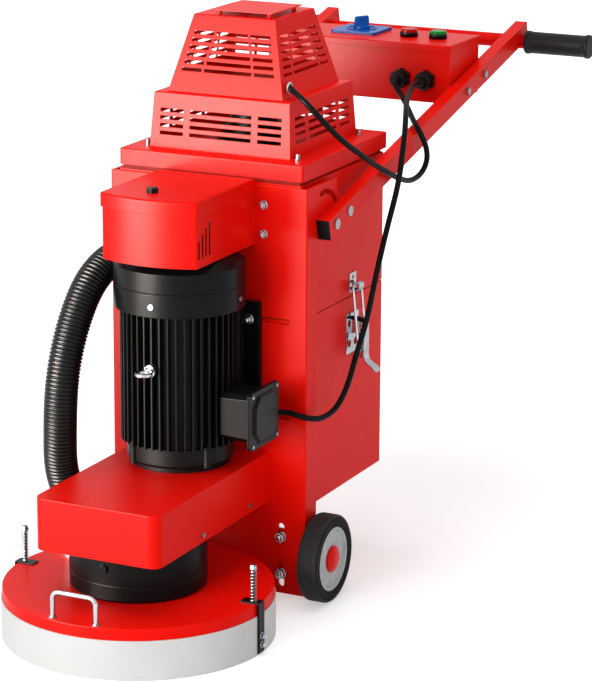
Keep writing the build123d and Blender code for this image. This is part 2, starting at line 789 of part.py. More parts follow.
with BuildPart() as rotor_shaft:
    rod(motor_shaft_radius, (0, motor_y, shaft_bottom), (0, motor_y, shaft_top))
    rod(rotor_radius, (0, motor_y, stator_bottom + 5), (0, motor_y, stator_top - 5))
    # Cooling fan on the shaft's upper end
    with BuildSketch(Plane.XY.offset(fan_bottom)):
        with Locations((0, motor_y)):
            Circle(fan_radius)
            Circle(motor_shaft_radius, mode=Mode.SUBTRACT)
    extrude(amount=3)
    with BuildSketch(Plane.XY.offset(fan_bottom + 3)):
        with Locations((0, motor_y)):
            with PolarLocations(fan_radius / 2 + 14, 8):
                Rectangle(fan_radius - 32, 3)
            Circle(motor_shaft_radius + 9)
            Circle(motor_shaft_radius, mode=Mode.SUBTRACT)
    extrude(amount=fan_height - 3)
finish_piece(rotor_shaft, "rotor_shaft")

with BuildPart() as bearings:
    for axis_y, inner, start in (
        (motor_y, motor_shaft_radius, lower_bearing),
        (motor_y, motor_shaft_radius, upper_bearing),
        (head_y, spindle_radius, cover_top),
        (head_y, spindle_radius, drum_top - bearing_height),
    ):
        rod(bearing_radius - running_fit, (0, axis_y, start), (0, axis_y, start + bearing_height))
        bore(inner + running_fit, (0, axis_y, start - 1), (0, axis_y, start + bearing_height + 1))
finish_piece(bearings, "bearings")

terminal_inner = fin_radius
terminal_outer = 200.0
terminal_cover = 8.0
terminal_front = 184.0
terminal_back = 84.0
terminal_bottom = 405.0
terminal_top = 520.0
gland_flat = 24.0
terminal_gland = (165.0, ahead(terminal_back - 20), 440.0)

with BuildPart() as terminal_box:
    block((terminal_inner, terminal_outer), (ahead(terminal_front), ahead(terminal_back)),
          (terminal_bottom, terminal_top))
    fillet(terminal_box.edges().filter_by(Axis.X), radius=6)
    block((terminal_inner + 4, terminal_outer + 1), (ahead(terminal_front - 4), ahead(terminal_back + 4)),
          (terminal_bottom + 4, terminal_top - 4), mode=Mode.SUBTRACT)
    with BuildSketch(Plane.YZ.offset(terminal_outer)):
        with Locations((ahead(133), 463.5)):
            RectangleRounded(134, 129, 8)
    extrude(amount=terminal_cover)
    fillet(terminal_box.faces().sort_by(Axis.X)[-1].edges(), radius=2)
    # Cable gland on the rear face
    x, y, z = terminal_gland
    hexagon(gland_flat, (x, ahead(terminal_back), z), (x, y - 8, z))
    rod(gland_flat / 2 - 1, (x, y - 8, z), (x, y, z))
finish_piece(terminal_box, "terminal_box")

# ================================================================ air intake cover
box_ear = 167.0
box_ear_sheet = 3.0
box_ear_bottom = 814.0
box_ear_top = 932.0
box_bolt_x = 138.5
intake_lid_grow = 3.6
intake_lid_sheet = 2.0
lid_to_plate = 4.0
star_knob_x = -12.0
star_knob_y = ahead(228)
star_knob_radius = 13.0
stud_radius = 4.0


def cover_outline(grow, back):
    """Face of the intake cover seen from above: straight sides and a bowed front."""
    half = hood_box_width / 2 + grow
    front = ahead(hood_box_side) - grow
    with BuildSketch(mode=Mode.PRIVATE) as outline:
        with BuildLine():
            Polyline((-half, front), (-half, back), (half, back), (half, front))
            ThreePointArc((half, front), (0, front - hood_box_bulge), (-half, front))
        make_face()
        fillet(outline.vertices().group_by(Axis.Y)[0], radius=6 + max(grow, -4))
    return outline.sketch


with BuildPart() as cover_body:
    with Locations((0, 0, hood_box_bottom)):
        add(cover_outline(0, plate_y))
    extrude(amount=intake_lid_bottom + 6 - hood_box_bottom)
    with Locations((0, 0, hood_box_bottom)):
        add(cover_outline(-hood_box_sheet, plate_y - hood_box_sheet))
    extrude(amount=intake_lid_bottom + 6 - hood_box_bottom, mode=Mode.SUBTRACT)
    for side in (-1, 1):
        block(sorted((side * (hood_box_width / 2 - 1), side * box_ear)), (ahead(box_ear_sheet), plate_y),
              (box_ear_bottom, box_ear_top))
        for distance, top in ((257, 867), (241, 879), (225, 890.5), (208.5, 901)):
            cut(sorted((side * (hood_box_width / 2 - 4), side * (hood_box_width / 2 + 4))),
                (ahead(distance + 4), ahead(distance - 4)), (828, top))
    # Bridge that takes the knob's stud
    block((-hood_box_width / 2 + 1, hood_box_width / 2 - 1), (star_knob_y - 12, star_knob_y + 12),
          (intake_lid_bottom, intake_lid_bottom + 3))
    bore(stud_radius + running_fit, (star_knob_x, star_knob_y, intake_lid_bottom - 1),
         (star_knob_x, star_knob_y, intake_lid_bottom + 4))
finish_piece(cover_body, "cover_body")

with BuildPart() as cover_lid:
    with Locations((0, 0, intake_lid_bottom)):
        add(cover_outline(intake_lid_grow, ahead(lid_to_plate)))
    extrude(amount=intake_lid_top - intake_lid_bottom)
    fillet(cover_lid.edges().group_by(Axis.Z)[-1], radius=5)
    with Locations((0, 0, intake_lid_bottom)):
        add(cover_outline(intake_lid_grow - intake_lid_sheet, ahead(lid_to_plate + intake_lid_sheet)))
    extrude(amount=intake_lid_top - intake_lid_bottom - intake_lid_sheet, mode=Mode.SUBTRACT)
    # Ribs that stand on the cover body's rim
    for y in (ahead(60), ahead(180)):
        block((-hood_box_width / 2, hood_box_width / 2), (y - 3, y + 3),
              (intake_lid_bottom + 6, intake_lid_top - 1))
    bore(stud_radius + running_fit, (star_knob_x, star_knob_y, intake_lid_bottom),
         (star_knob_x, star_knob_y, intake_lid_top + 1))
    cut((-hood_box_width / 2 - 1, hood_box_width / 2 + 1), (ahead(lid_to_plate + 4), plate_y),
        (intake_lid_bottom - 1, intake_lid_bottom + 6 + touch_gap))
finish_piece(cover_lid, "cover_lid")

with BuildPart() as star_knob:
    with BuildSketch(Plane.XY.offset(intake_lid_top + running_fit)):
        with Locations((star_knob_x, star_knob_y)):
            Circle(star_knob_radius - 2)
            with PolarLocations(star_knob_radius - 3, 5):
                Circle(3.4)
    extrude(amount=11)
    fillet(star_knob.edges().group_by(Axis.Z)[-1], radius=1)
    rod(stud_radius, (star_knob_x, star_knob_y, intake_lid_bottom), (star_knob_x, star_knob_y, intake_lid_top + 4))
finish_piece(star_knob, "star_knob")

# ================================================================ dust collector
grommet_radius = 11.0
grommet_x = 137.0
grommet_place = (behind(118), 1137.0)
flange_in = 20.0
shelf_drop = 20.0  # below the housing's rim
shelf_height = housing_top - shelf_drop
shelf_sheet = 5.0
filter_hole = 144.0  # across the flats, halved
filter_flange = 165.0
filter_radius = 140.0
filter_root = 122.0
filter_bottom = 700.0
pleat_count = 60
suction_hole = 60.0
lid_wall = 2.5
vent_half = 33.0
cabinet_y = behind(8 + cabinet_depth / 2)

with BuildPart() as filter_housing:
    block((-cabinet_half, cabinet_half), (plate_back, cabinet_back), (seam_height + seal_thickness, housing_top))
    inner = cabinet_half - cabinet_sheet
    cut((-inner, inner), (plate_back + cabinet_sheet, cabinet_back - cabinet_sheet),
        (seam_height, shelf_height))
    inner = cabinet_half - flange_in
    cut((-inner, inner), (plate_back + flange_in, cabinet_back - flange_in),
        (shelf_height + shelf_sheet, housing_top + 1))
    inner = cabinet_half - cabinet_sheet
    cut((-inner, inner), (plate_back + cabinet_sheet, cabinet_back - cabinet_sheet),
        (shelf_height + shelf_sheet, housing_top - cabinet_sheet))
    # Eight-sided hole for the filter, closed by its round flange
    with BuildSketch(Plane.XY.offset(shelf_height - 1)):
        with Locations((0, cabinet_y)):
            RegularPolygon(filter_hole, 8, major_radius=False)
    extrude(amount=shelf_sheet + 2, mode=Mode.SUBTRACT)
    cut((hose_port_x - vent_half, hose_port_x + vent_half), (plate_back - 1, plate_back + 4),
        (hose_port_z - vent_half, hose_port_z + vent_half))
finish_piece(filter_housing, "filter_housing")

with BuildPart() as dust_bin:
    block((-cabinet_half, cabinet_half), (plate_back, cabinet_back), (bin_bottom, seam_height))
    fillet(dust_bin.edges().group_by(Axis.Z)[0], radius=4)
    inner = cabinet_half - cabinet_sheet
    cut((-inner, inner), (plate_back + cabinet_sheet, cabinet_back - cabinet_sheet),
        (bin_bottom + cabinet_sheet, seam_height - cabinet_sheet))
    inner = cabinet_half - flange_in
    cut((-inner, inner), (plate_back + flange_in, cabinet_back - flange_in), (seam_height - 10, seam_height + 1))
finish_piece(dust_bin, "dust_bin")

lid_front = behind(lid_setback)
lid_back = lid_front + lid_depth
lid_half = lid_width / 2
with BuildPart() as rubber_seals:
    for low, high, inset, width in (
        (seam_height, seam_height + seal_thickness, 2, 14),
        (housing_top, lid_bottom, 5, 12),
    ):
        half = cabinet_half - inset
        front = plate_back + inset
        back = cabinet_back - inset
        block((-half, half), (front, back), (low, high))
        cut((-half + width, half - width), (front + width, back - width), (low - 1, high + 1))
    # Grommet for the suction motor's cable in the side of the hood
    rod(grommet_radius, (grommet_x - 8, *grommet_place), (grommet_x + 6, *grommet_place))
finish_piece(rubber_seals, "rubber_seals")

with BuildPart() as cabinet_lid:
    block((-lid_half, lid_half), (lid_front, lid_back), (lid_bottom, lid_top))
    fillet(cabinet_lid.edges().filter_by(Axis.Z), radius=5)
    fillet(cabinet_lid.edges().group_by(Axis.Z)[-1], radius=3)
    cut((-lid_half + lid_wall, lid_half - lid_wall), (lid_front + lid_wall, lid_back - lid_wall),
        (lid_bottom + lid_wall, lid_top - lid_wall))
    cut((-lid_half + 26, lid_half - 26), (lid_front + 26, lid_back - 36), (lid_bottom - 1, lid_bottom + 5))
    bore(suction_hole, (0, hood_y, lid_top - 5), (0, hood_y, lid_top + 1))
finish_piece(cabinet_lid, "cabinet_lid")


def frustum(bottom, top, z_range, inset=0.0, mode=Mode.ADD):
    """A block that tapers evenly from one rectangle to a smaller one above it."""
    sections = []
    for (width, depth), z in zip((bottom, top), z_range):
        with BuildSketch(Plane((0, hood_y, z)), mode=Mode.PRIVATE) as section:
            Rectangle(width - 2 * inset, depth - 2 * inset)
        sections.append(section.sketch)
    loft(sections, mode=mode)


vent_rows = (1074.0, 1057.0, 1040.0, 1023.0)
with BuildPart() as hood_base:
    frustum((base_bottom_width, base_bottom_depth), (base_top_width, base_top_depth), (lid_top, base_top))
    fillet(hood_base.edges().group_by(Axis.Z)[-1], radius=3)
    frustum((base_bottom_width, base_bottom_depth), (base_top_width, base_top_depth),
            (lid_top - 0.001, base_top - hood_sheet), inset=hood_sheet, mode=Mode.SUBTRACT)
    inner = hood_bottom_width / 2 - 12
    cut((-inner, inner), (hood_y - inner, hood_y + inner), (base_top - 4, base_top + 1))
    for z in vent_rows:
        for low, high in ((-150, -92), (-76, 76), (92, 150)):
            low_z, high_z = z - slot_height / 2, z + slot_height / 2
            cut((low, high), (hood_y - 190, hood_y - 150), (low_z, high_z))
            cut((low, high), (hood_y + 150, hood_y + 190), (low_z, high_z))
            low_y, high_y = hood_y + low * 0.93, hood_y + high * 0.93
            cut((-190, -155), (low_y, high_y), (low_z, high_z))
            cut((155, 190), (low_y, high_y), (low_z, high_z))
finish_piece(hood_base, "hood_base")

hood_rows = 6
hood_first_row = 1162.5
hood_row_pitch = 16.06
with BuildPart() as hood:
    frustum((hood_bottom_width, hood_bottom_depth), (hood_top_width, hood_top_depth), (base_top, hood_top))
    fillet(hood.edges().group_by(Axis.Z)[-1], radius=3)
    frustum((hood_bottom_width, hood_bottom_depth), (hood_top_width, hood_top_depth),
            (base_top - 0.001, hood_top - hood_sheet), inset=hood_sheet, mode=Mode.SUBTRACT)
    slope = (hood_bottom_width - hood_top_width) / 2 / (hood_top - base_top)
    for row in range(hood_rows):
        z = hood_first_row + row * hood_row_pitch
        low_z, high_z = z - slot_height / 2, z + slot_height / 2
        for column, gap, edge in ((49, 6, 16), (44, 7, 16)):
            face = hood_bottom_width / 2 - (z - base_top) * slope
            columns = ((-face + edge, -face + edge + column), (-face + edge + column + gap, face - edge - column - gap),
                       (face - edge - column, face - edge))
            for low, high in columns:
                if column == 49:
                    cut((low, high), (hood_y - face - 8, hood_y - face + 8), (low_z, high_z))
                    cut((low, high), (hood_y + face - 8, hood_y + face + 8), (low_z, high_z))
                else:
                    cut((-face - 8, -face + 8), (hood_y + low, hood_y + high), (low_z, high_z))
                    cut((face - 8, face + 8), (hood_y + low, hood_y + high), (low_z, high_z))
    bore(grommet_radius + running_fit, (grommet_x - 8, *grommet_place), (grommet_x + 6, *grommet_place))
    # Cap plate on four spacers, set off the middle
    x, y = cap_offset[0], hood_y + cap_offset[1]
    for step_x in (-1, 1):
        for step_y in (-1, 1):
            corner = (x + step_x * (cap_size / 2 - 14), y + step_y * (cap_size / 2 - 14))
            rod(5, (*corner, hood_top - hood_sheet), (*corner, hood_top + cap_lift))
    block((x - cap_size / 2, x + cap_size / 2), (y - cap_size / 2, y + cap_size / 2),
          (hood_top + cap_lift, hood_top + cap_lift + cap_sheet))
finish_piece(hood, "hood")

impeller_radius = 66.0
casing_radius = 74.0
casing_bottom = lid_top + 4
casing_top = 1026.0
can_radius = 55.0
can_top = 1105.0
with BuildPart() as vacuum_motor:
    rod(82, (0, hood_y, lid_top), (0, hood_y, casing_bottom))
    rod(casing_radius, (0, hood_y, casing_bottom), (0, hood_y, casing_top))
    rod(can_radius, (0, hood_y, casing_top), (0, hood_y, can_top))
    fillet(vacuum_motor.edges().group_by(Axis.Z)[-1], radius=6)
    bore(impeller_radius + 3, (0, hood_y, casing_bottom), (0, hood_y, casing_top - 4))
    bore(suction_hole - 10, (0, hood_y, lid_top - 1), (0, hood_y, casing_bottom + 1))
    bore(5 + running_fit, (0, hood_y, casing_top - 5), (0, hood_y, can_top - 20))
finish_piece(vacuum_motor, "vacuum_motor")

with BuildPart() as impeller:
    rod(5, (0, hood_y, casing_bottom + 3), (0, hood_y, can_top - 21))
    for z in (casing_bottom + 3, casing_bottom + 19):
        rod(impeller_radius, (0, hood_y, z), (0, hood_y, z + 2))
    bore(26, (0, hood_y, casing_bottom + 2), (0, hood_y, casing_bottom + 5.5))
    rod(9, (0, hood_y, casing_bottom + 3), (0, hood_y, casing_bottom + 20))
    with BuildSketch(Plane.XY.offset(casing_bottom + 4)):
        with Locations((0, hood_y)):
            with PolarLocations(45, 9, rotate=True):
                Rectangle(40, 2, rotation=28)
    extrude(amount=16)
finish_piece(impeller, "impeller")

with BuildPart() as filter_cartridge:
    with BuildSketch(Plane.XY.offset(filter_bottom)):
        with Locations((0, cabinet_y)):
            pleats = []
            for fold in range(2 * pleat_count):
                angle = radians(fold * 180 / pleat_count)
                radius = filter_root if fold % 2 else filter_radius
                pleats.append((radius * cos(angle), radius * sin(angle)))
            Polygon(*pleats, align=None)
            Circle(104, mode=Mode.SUBTRACT)
    extrude(amount=shelf_height + shelf_sheet - filter_bottom)
    rod(filter_radius, (0, cabinet_y, filter_bottom - 4), (0, cabinet_y, filter_bottom))
    with BuildSketch(Plane.XY.offset(shelf_height + shelf_sheet)):
        with Locations((0, cabinet_y)):
            Circle(filter_flange)
            Circle(104, mode=Mode.SUBTRACT)
    extrude(amount=6)
finish_piece(filter_cartridge, "filter_cartridge")

# ================================================================ latches
# A toggle latch on each side: the lever turns on the base, the wire bail turns on the
# lever and pulls its crossbar down into a hook on the filter housing.
latch_y = behind(276)
latch_base_top = seam_height - 32.5
latch_base_bottom = latch_base_top - 105.0
latch_base_half = 45.0
latch_sheet = 3.0
lever_pivot = (30.0, latch_base_top - 34.0)  # out from the cabinet side, and height
bail_pivot = (28.0, latch_base_top - 87.0)
lever_foot = latch_base_bottom - 4.0
latch_pin = 3.0
cheek_inner = 14.5
bail_half = 21.5
lever_inner = 11.0
crossbar_height = seam_height + 30.5
crossbar_out = 12.0
wire_radius = 3.0


def out(side, distance):
    """The x value a distance out from one side of the cabinet."""
    return side * (cabinet_half + distance)


with BuildPart() as latch_plates:
    for side in (-1, 1):
        block(sorted((out(side, 0), out(side, latch_sheet))), (latch_y - latch_base_half, latch_y + latch_base_half),
              (latch_base_bottom, latch_base_top))
        for step in (-1, 1):
            low, high = sorted((latch_y + step * cheek_inner, latch_y + step * (cheek_inner + latch_sheet)))
            block(sorted((out(side, 0), out(side, lever_pivot[0] + 6))), (low, high),
                  (lever_pivot[1] - 9, lever_pivot[1] + 9))
        reach = latch_y + cheek_inner + latch_sheet + 0.5
        rod(latch_pin, (out(side, lever_pivot[0]), 2 * latch_y - reach, lever_pivot[1]),
            (out(side, lever_pivot[0]), reach, lever_pivot[1]))
        # Keeper on the housing, hooked over upward
        block(sorted((out(side, 0), out(side, latch_sheet))), (latch_y - 30, latch_y + 30),
              (crossbar_height - 24, crossbar_height + 28))
        block(sorted((out(side, 0), out(side, 23.5))), (latch_y - 13, latch_y + 13),
              (crossbar_height - 16, crossbar_height - 13))
        block(sorted((out(side, 20.5), out(side, 23.5))), (latch_y - 13, latch_y + 13),
              (crossbar_height - 16, crossbar_height + 3))
finish_piece(latch_plates, "latch_plates")

for side, name in ((-1, "left"), (1, "right")):
    with BuildPart() as latch_lever:
        for step in (-1, 1):
            low, high = sorted((latch_y + step * lever_inner, latch_y + step * (lever_inner + latch_sheet)))
            with BuildSketch(Plane((0, low, 0), x_dir=(1, 0, 0), z_dir=(0, 1, 0))):
                with BuildLine():
                    Polyline(
                        (out(side, lever_pivot[0] - 7), -lever_pivot[1] - 7),
                        (out(side, lever_pivot[0] + 8), -lever_pivot[1] - 7),
                        (out(side, lever_pivot[0] + 8), -lever_foot),
                        (out(side, 22), -lever_foot - 6),
                        (out(side, lever_pivot[0] - 7), -lever_pivot[1] + 9),
                        close=True,
                    )
                make_face()
            extrude(amount=latch_sheet)
        block(sorted((out(side, 35), out(side, 38))), (latch_y - lever_inner, latch_y + lever_inner),
              (lever_foot, lever_pivot[1]))
        with BuildSketch(Plane((0, latch_y - 21, 0), x_dir=(1, 0, 0), z_dir=(0, 1, 0))):
            with BuildLine():
                Polyline((out(side, 35), -lever_foot - 2), (out(side, 38), -lever_foot - 2),
                         (out(side, 71), -lever_foot + 29), (out(side, 68), -lever_foot + 32),
                         close=True)
            make_face()
        extrude(amount=42)
        reach = bail_half + wire_radius + 2
        rod(latch_pin, (out(side, bail_pivot[0]), latch_y - reach, bail_pivot[1]),
            (out(side, bail_pivot[0]), latch_y + reach, bail_pivot[1]))
        bore(latch_pin + running_fit, (out(side, lever_pivot[0]), latch_y - 30, lever_pivot[1]),
             (out(side, lever_pivot[0]), latch_y + 30, lever_pivot[1]))
    finish_piece(latch_lever, f"latch_lever_{name}")

    with BuildPart() as latch_bail:
        corners = (out(-1, bail_pivot[0]), bail_pivot[1]), (out(-1, crossbar_out), crossbar_height)
        near, far = latch_y - bail_half, latch_y + bail_half
        route = [(corners[0][0], near, corners[0][1]), (corners[1][0], near, corners[1][1]),
                 (corners[1][0], far, corners[1][1]), (corners[0][0], far, corners[0][1])]
        with BuildLine() as wire:
            FilletPolyline(*route, radius=2 * wire_radius)
        with BuildSketch(Plane(wire.line @ 0, z_dir=wire.line % 0)):
            Circle(wire_radius)
        sweep()
        for y in (near, far):
            rod(latch_pin + 3, (corners[0][0], y - wire_radius, corners[0][1]),
                (corners[0][0], y + wire_radius, corners[0][1]))
        bore(latch_pin + running_fit, (corners[0][0], latch_y - 30, corners[0][1]),
             (corners[0][0], latch_y + 30, corners[0][1]))
        if side == 1:
            mirror(about=Plane.YZ, mode=Mode.REPLACE)
    finish_piece(latch_bail, f"latch_bail_{name}")

# ================================================================ dust hose and cables
hose_start = (hose_port_x, ahead(port_height), hose_port_z)
hose_end = (port_x, port_y, cover_top + port_height)
hose_route = [
    hose_start,
    (hose_port_x, ahead(84), hose_port_z),
    (-187, ahead(128), 760),
    (-198, ahead(184), 724),
    (-206, ahead(231), 658),
    (-211, ahead(268), 576),
    (-214, ahead(284), 498),
    (-222, ahead(277), 400),
    (-233, ahead(258), 318),
    (-224, ahead(238), 252),
    (port_x, port_y, 200),
    hose_end,
]


def route_radii(route):
    """Bend radii for a route of straight runs: the gentlest that fit its corners."""
    radii = []
    for before, corner, after in zip(route, route[1:], route[2:]):
        run_in = Vector(*corner) - Vector(*before)
        run_out = Vector(*after) - Vector(*corner)
        turn = radians(run_in.get_angle(run_out))
        radii.append(0.45 * min(run_in.length, run_out.length) / tan(turn / 2))
    return radii


def lay_cable(route, radius, name):
    """A round cable along a route, with an arc at each corner, in the sub-part in hand."""
    radii = route_radii(route)
    with BuildLine(mode=Mode.PRIVATE) as path:
        FilletPolyline(*route, radius=radii)
    with BuildSketch(Plane(path.line @ 0, z_dir=path.line % 0), mode=Mode.PRIVATE) as section:
        Circle(radius)
    sweep(section.sketch, path=path.line)
    expected = path.wires()[0].length * section.sketch.area
    print(name, "radii", [round(value) for value in radii], "turns smallest", round(min(radii) / radius / 2, 1),
          "diameters, length", round(path.wires()[0].length))
    return expected


with BuildPart() as hose_ports:
    # A flanged pipe stub at each end, with a clamp band round the hose
    for start, direction in ((hose_start, (0, 1, 0)), (hose_end, (0, 0, -1))):
        tip = Vector(*start)
        axis = Vector(*direction)
        base = tip + axis * port_height
        rod(port_radius, tuple(base), tuple(tip))
        rod(port_flange, tuple(base), tuple(base - axis * 4))
        rod(hose_radius + 2.5, tuple(tip - axis * 8), tuple(tip - axis * 20))
        bore(hose_radius - 0.3, tuple(tip - axis * 0.5), tuple(tip - axis * 21))
        bore(port_radius - 3, tuple(base + axis), tuple(tip - axis))
finish_piece(hose_ports, "hose_ports")

with BuildPart() as hose:
    expected = lay_cable(hose_route, hose_radius, "hose")
print("hose volume against its section and length", round(hose.part.volume / expected, 4))
finish_piece(hose, "hose")

# ================================================================ handle and control box
end_cap = 3.0
arm_bolt_places = (748.6, 855.7)
arm_bolt_radius = 5.0
head_radius = 12.0
gland_x = (116.5, 181.0)
gland_z = 1053.0
gland_reach = 32.0
gland_hex = 14.0
vacuum_gland = (gland_x[0], box_y - gland_reach, gland_z)
motor_gland = (gland_x[1], box_y - gland_reach, gland_z)
inlet_x = -99.0
inlet_height = 1040.0
plug_height = 1104.0
hinge_y = behind(967)
hinge_radius = 4.0
hinge_pin = 1.6
lid_hinge_x = (-150.0, 150.0)


def arm_profile(front, back, half):
    """Side view of a length of arm, as a face standing in the plane x = 0."""
    corners = [along_arm(front, -half), along_arm(back, -half), along_arm(back, half), along_arm(front, half)]
    with BuildSketch(Plane.YZ, mode=Mode.PRIVATE) as outline:
        Polygon(*corners, align=None)
    return outline.sketch


def arm_block(front, back, half, inner, thickness, mode=Mode.ADD):
    """A block as long as a stretch of each arm, on both sides of the machine."""
    for start in (inner, -inner - thickness):
        extrude(arm_profile(front, back, half).moved(Location((start, 0, 0))), amount=thickness, mode=mode)


tube_place = along_arm(tube_reach, -tube_drop)
tube_end = arm_outer + tube_overhang + grip_length - 8
with BuildPart() as handle_frame:
    arm_block(-arm_front + end_cap, arm_back, arm_height / 2, arm_inner, arm_width)
    arm_block(-arm_front, arm_back - arm_wall, arm_height / 2 - arm_wall, arm_inner + arm_wall,
              arm_width - 2 * arm_wall, mode=Mode.SUBTRACT)
    rod(tube_radius, (-tube_end, *tube_place), (tube_end, *tube_place))
    for place in (0, pivot_to_clamp, *arm_bolt_places):
        radius = clamp_bolt_radius if place < 100 else arm_bolt_radius
        for side in (-1, 1):
            bore(radius + running_fit, (side * (arm_inner - 1), *along_arm(place)),
                 (side * (arm_outer + 1), *along_arm(place)))
finish_piece(handle_frame, "handle_frame")

with BuildPart() as handle_grips:
    for side in (-1, 1):
        start = arm_outer + tube_overhang
        rod(grip_radius, (side * start, *tube_place), (side * (start + grip_length), *tube_place))
        for groove in range(9):
            x = start + 16 + groove * 14
            rod(grip_radius + 1.2, (side * x, *tube_place), (side * (x + 8), *tube_place))
        rod(grip_radius + 4, (side * (start + grip_length - 10), *tube_place),
            (side * (start + grip_length - 4), *tube_place))
        bore(tube_radius + running_fit, (side * (start - 1), *tube_place), (side * (tube_end + 0.1), *tube_place))
    # Plugs in the arms' front ends
    arm_block(-arm_front, -arm_front + end_cap, arm_height / 2, arm_inner, arm_width)
    arm_block(-arm_front + end_cap, -arm_front + end_cap + 8, arm_height / 2 - arm_wall - running_fit,
              arm_inner + arm_wall + running_fit, arm_width - 2 * arm_wall - 2 * running_fit)
finish_piece(handle_grips, "handle_grips")

with BuildPart() as handle_bolts:
    for side in (-1, 1):
        # Pivot and clamp bolts, with their nuts inside the chassis ears
        for place in (0, pivot_to_clamp):
            y, z = along_arm(place)
            rod(head_radius, (side * arm_outer, y, z), (side * (arm_outer + 3), y, z))
            rod(clamp_bolt_radius, (side * (arm_outer + 1), y, z), (side * (flange_inner - 7), y, z))
            hexagon(18, (side * flange_inner, y, z), (side * (flange_inner - 7), y, z))
        # Bolts that carry the control box between the arms
        for place in arm_bolt_places:
            y, z = along_arm(place)
            hexagon(16, (side * arm_outer, y, z), (side * (arm_outer + 6), y, z))
            rod(arm_bolt_radius, (side * (arm_outer + 1), y, z), (side * (box_half - box_sheet - 8), y, z))
            hexagon(16, (side * (box_half - box_sheet), y, z), (side * (box_half - box_sheet - 7), y, z))
finish_piece(handle_bolts, "handle_bolts")

with BuildPart() as control_box:
    block((-box_half, box_half), (box_y, box_back), (box_bottom, box_top))
    fillet(control_box.edges().filter_by(Axis.Z) + control_box.edges().group_by(Axis.Z)[0], radius=3)
    cut((-box_half + box_sheet, box_half - box_sheet), (box_y + box_sheet, box_back - box_sheet),
        (box_bottom + box_sheet, box_top + 1))
    for side in (-1, 1):
        for place in arm_bolt_places:
            y, z = along_arm(place)
            rod(11, (side * (box_half - box_sheet / 2), y, z), (side * arm_inner, y, z))
            half = arm_bolt_radius + running_fit
            cut(sorted((side * (box_half - 3), side * (arm_inner + 1))), (y - half, y + half), (z - half, z + half))
    for x in gland_x:
        cut((x - 15.1, x + 15.1), (box_y - 1, box_y + 3), (gland_z - 15.1, gland_z + 15.1))
    cut((inlet_x - 10.1, inlet_x + 10.1), (box_back - 3, box_back + 1), (inlet_height - 10.1, inlet_height + 10.1))
    # Middle knuckles of the two lid hinges, with their pins
    for x in lid_hinge_x:
        rod(hinge_radius, (x - 9.8, hinge_y, box_top), (x + 9.8, hinge_y, box_top))
        block((x - 9.8, x + 9.8), (box_back - 1, hinge_y), (box_top - hinge_radius, box_top - 1))
        rod(hinge_pin, (x - 30, hinge_y, box_top), (x + 30, hinge_y, box_top))
finish_piece(control_box, "control_box")

with BuildPart() as box_fittings:
    for x in gland_x:
        hexagon(44, (x, box_y, gland_z), (x, box_y - gland_hex, gland_z))
        rod(20, (x, box_y - gland_hex, gland_z), (x, box_y - gland_reach, gland_z))
        rod(15, (x, box_y, gland_z), (x, box_y + 12, gland_z))
        hexagon(38, (x, box_y + box_sheet, gland_z), (x, box_y + box_sheet + 7, gland_z))
    fillet(box_fittings.edges().group_by(Axis.Y)[0], radius=6)
    # Blanking plug in front, and the mains inlet on the back
    rod(14, (inlet_x, box_y, plug_height), (inlet_x, box_y - 6, plug_height))
    rod(14, (inlet_x, box_back, inlet_height), (inlet_x, box_back + 6, inlet_height))
    rod(10, (inlet_x, box_back - 8, inlet_height), (inlet_x, box_back, inlet_height))
    bore(6, (inlet_x, box_back - 9, inlet_height), (inlet_x, box_back + 7, inlet_height))
    # Contactor on the floor of the box
    block((40, 110), (box_y + 60, box_y + 130), (box_bottom + box_sheet, box_bottom + 78))
    block((-120, -40), (box_y + 60, box_y + 120), (box_bottom + box_sheet, box_bottom + 50))
finish_piece(box_fittings, "box_fittings")

lid_outer = box_half + box_lid_overhang
lid_front_edge = box_y - box_lid_overhang
lid_back_edge = box_back + box_lid_overhang + 1
box_lid_top = box_top + box_lid_height
button_y = behind(872)
stop_x, start_x = 94.0, 170.0
button_radius = 20.0
stem_radius = 9.0
collar_height = 5.5
button_gap = 3.5
button_thick = 10.0
switch_x = -41.0
switch_y = behind(892)
switch_plate_half = 59.0
switch_plate_depth = 108.0
switch_plate_height = 7.0
knob_stem = 8.0

with BuildPart() as control_box_lid:
    block((-lid_outer, lid_outer), (lid_front_edge, lid_back_edge), (box_top, box_lid_top))
    fillet(control_box_lid.edges().filter_by(Axis.Z) + control_box_lid.edges().group_by(Axis.Z)[-1], radius=3)
    cut((-lid_outer + 6, lid_outer - 6), (lid_front_edge + 6, lid_back_edge - 6), (box_top - 1, box_lid_top - box_sheet))
    for x in (stop_x, start_x):
        bore(stem_radius + running_fit, (x, button_y, box_top), (x, button_y, box_lid_top + 1))
    bore(knob_stem + running_fit, (switch_x, switch_y, box_top), (switch_x, switch_y, box_lid_top + 1))
    # Outer knuckles of the two hinges
    for x in lid_hinge_x:
        cut((x - 10.2, x + 10.2), (box_back + 0.5, lid_back_edge + 1), (box_top - 1, box_top + hinge_radius + 1))
        for start, end in ((x - 30, x - 10.2), (x + 10.2, x + 30)):
            rod(hinge_radius, (start, hinge_y, box_top), (end, hinge_y, box_top))
            bore(hinge_pin + running_fit, (start - 1, hinge_y, box_top), (end + 1, hinge_y, box_top))
finish_piece(control_box_lid, "control_box_lid")

with BuildPart() as switch_plate:
    with BuildSketch(Plane.XY.offset(box_lid_top)):
        with Locations((switch_x, switch_y)):
            RectangleRounded(2 * switch_plate_half, switch_plate_depth, 8)
            Circle(knob_stem + running_fit, mode=Mode.SUBTRACT)
    extrude(amount=switch_plate_height)
    for x in (stop_x, start_x):
        rod(button_radius, (x, button_y, box_lid_top), (x, button_y, box_lid_top + collar_height))
        bore(stem_radius + running_fit, (x, button_y, box_lid_top - 1), (x, button_y, box_lid_top + collar_height + 1))
finish_piece(switch_plate, "switch_plate")

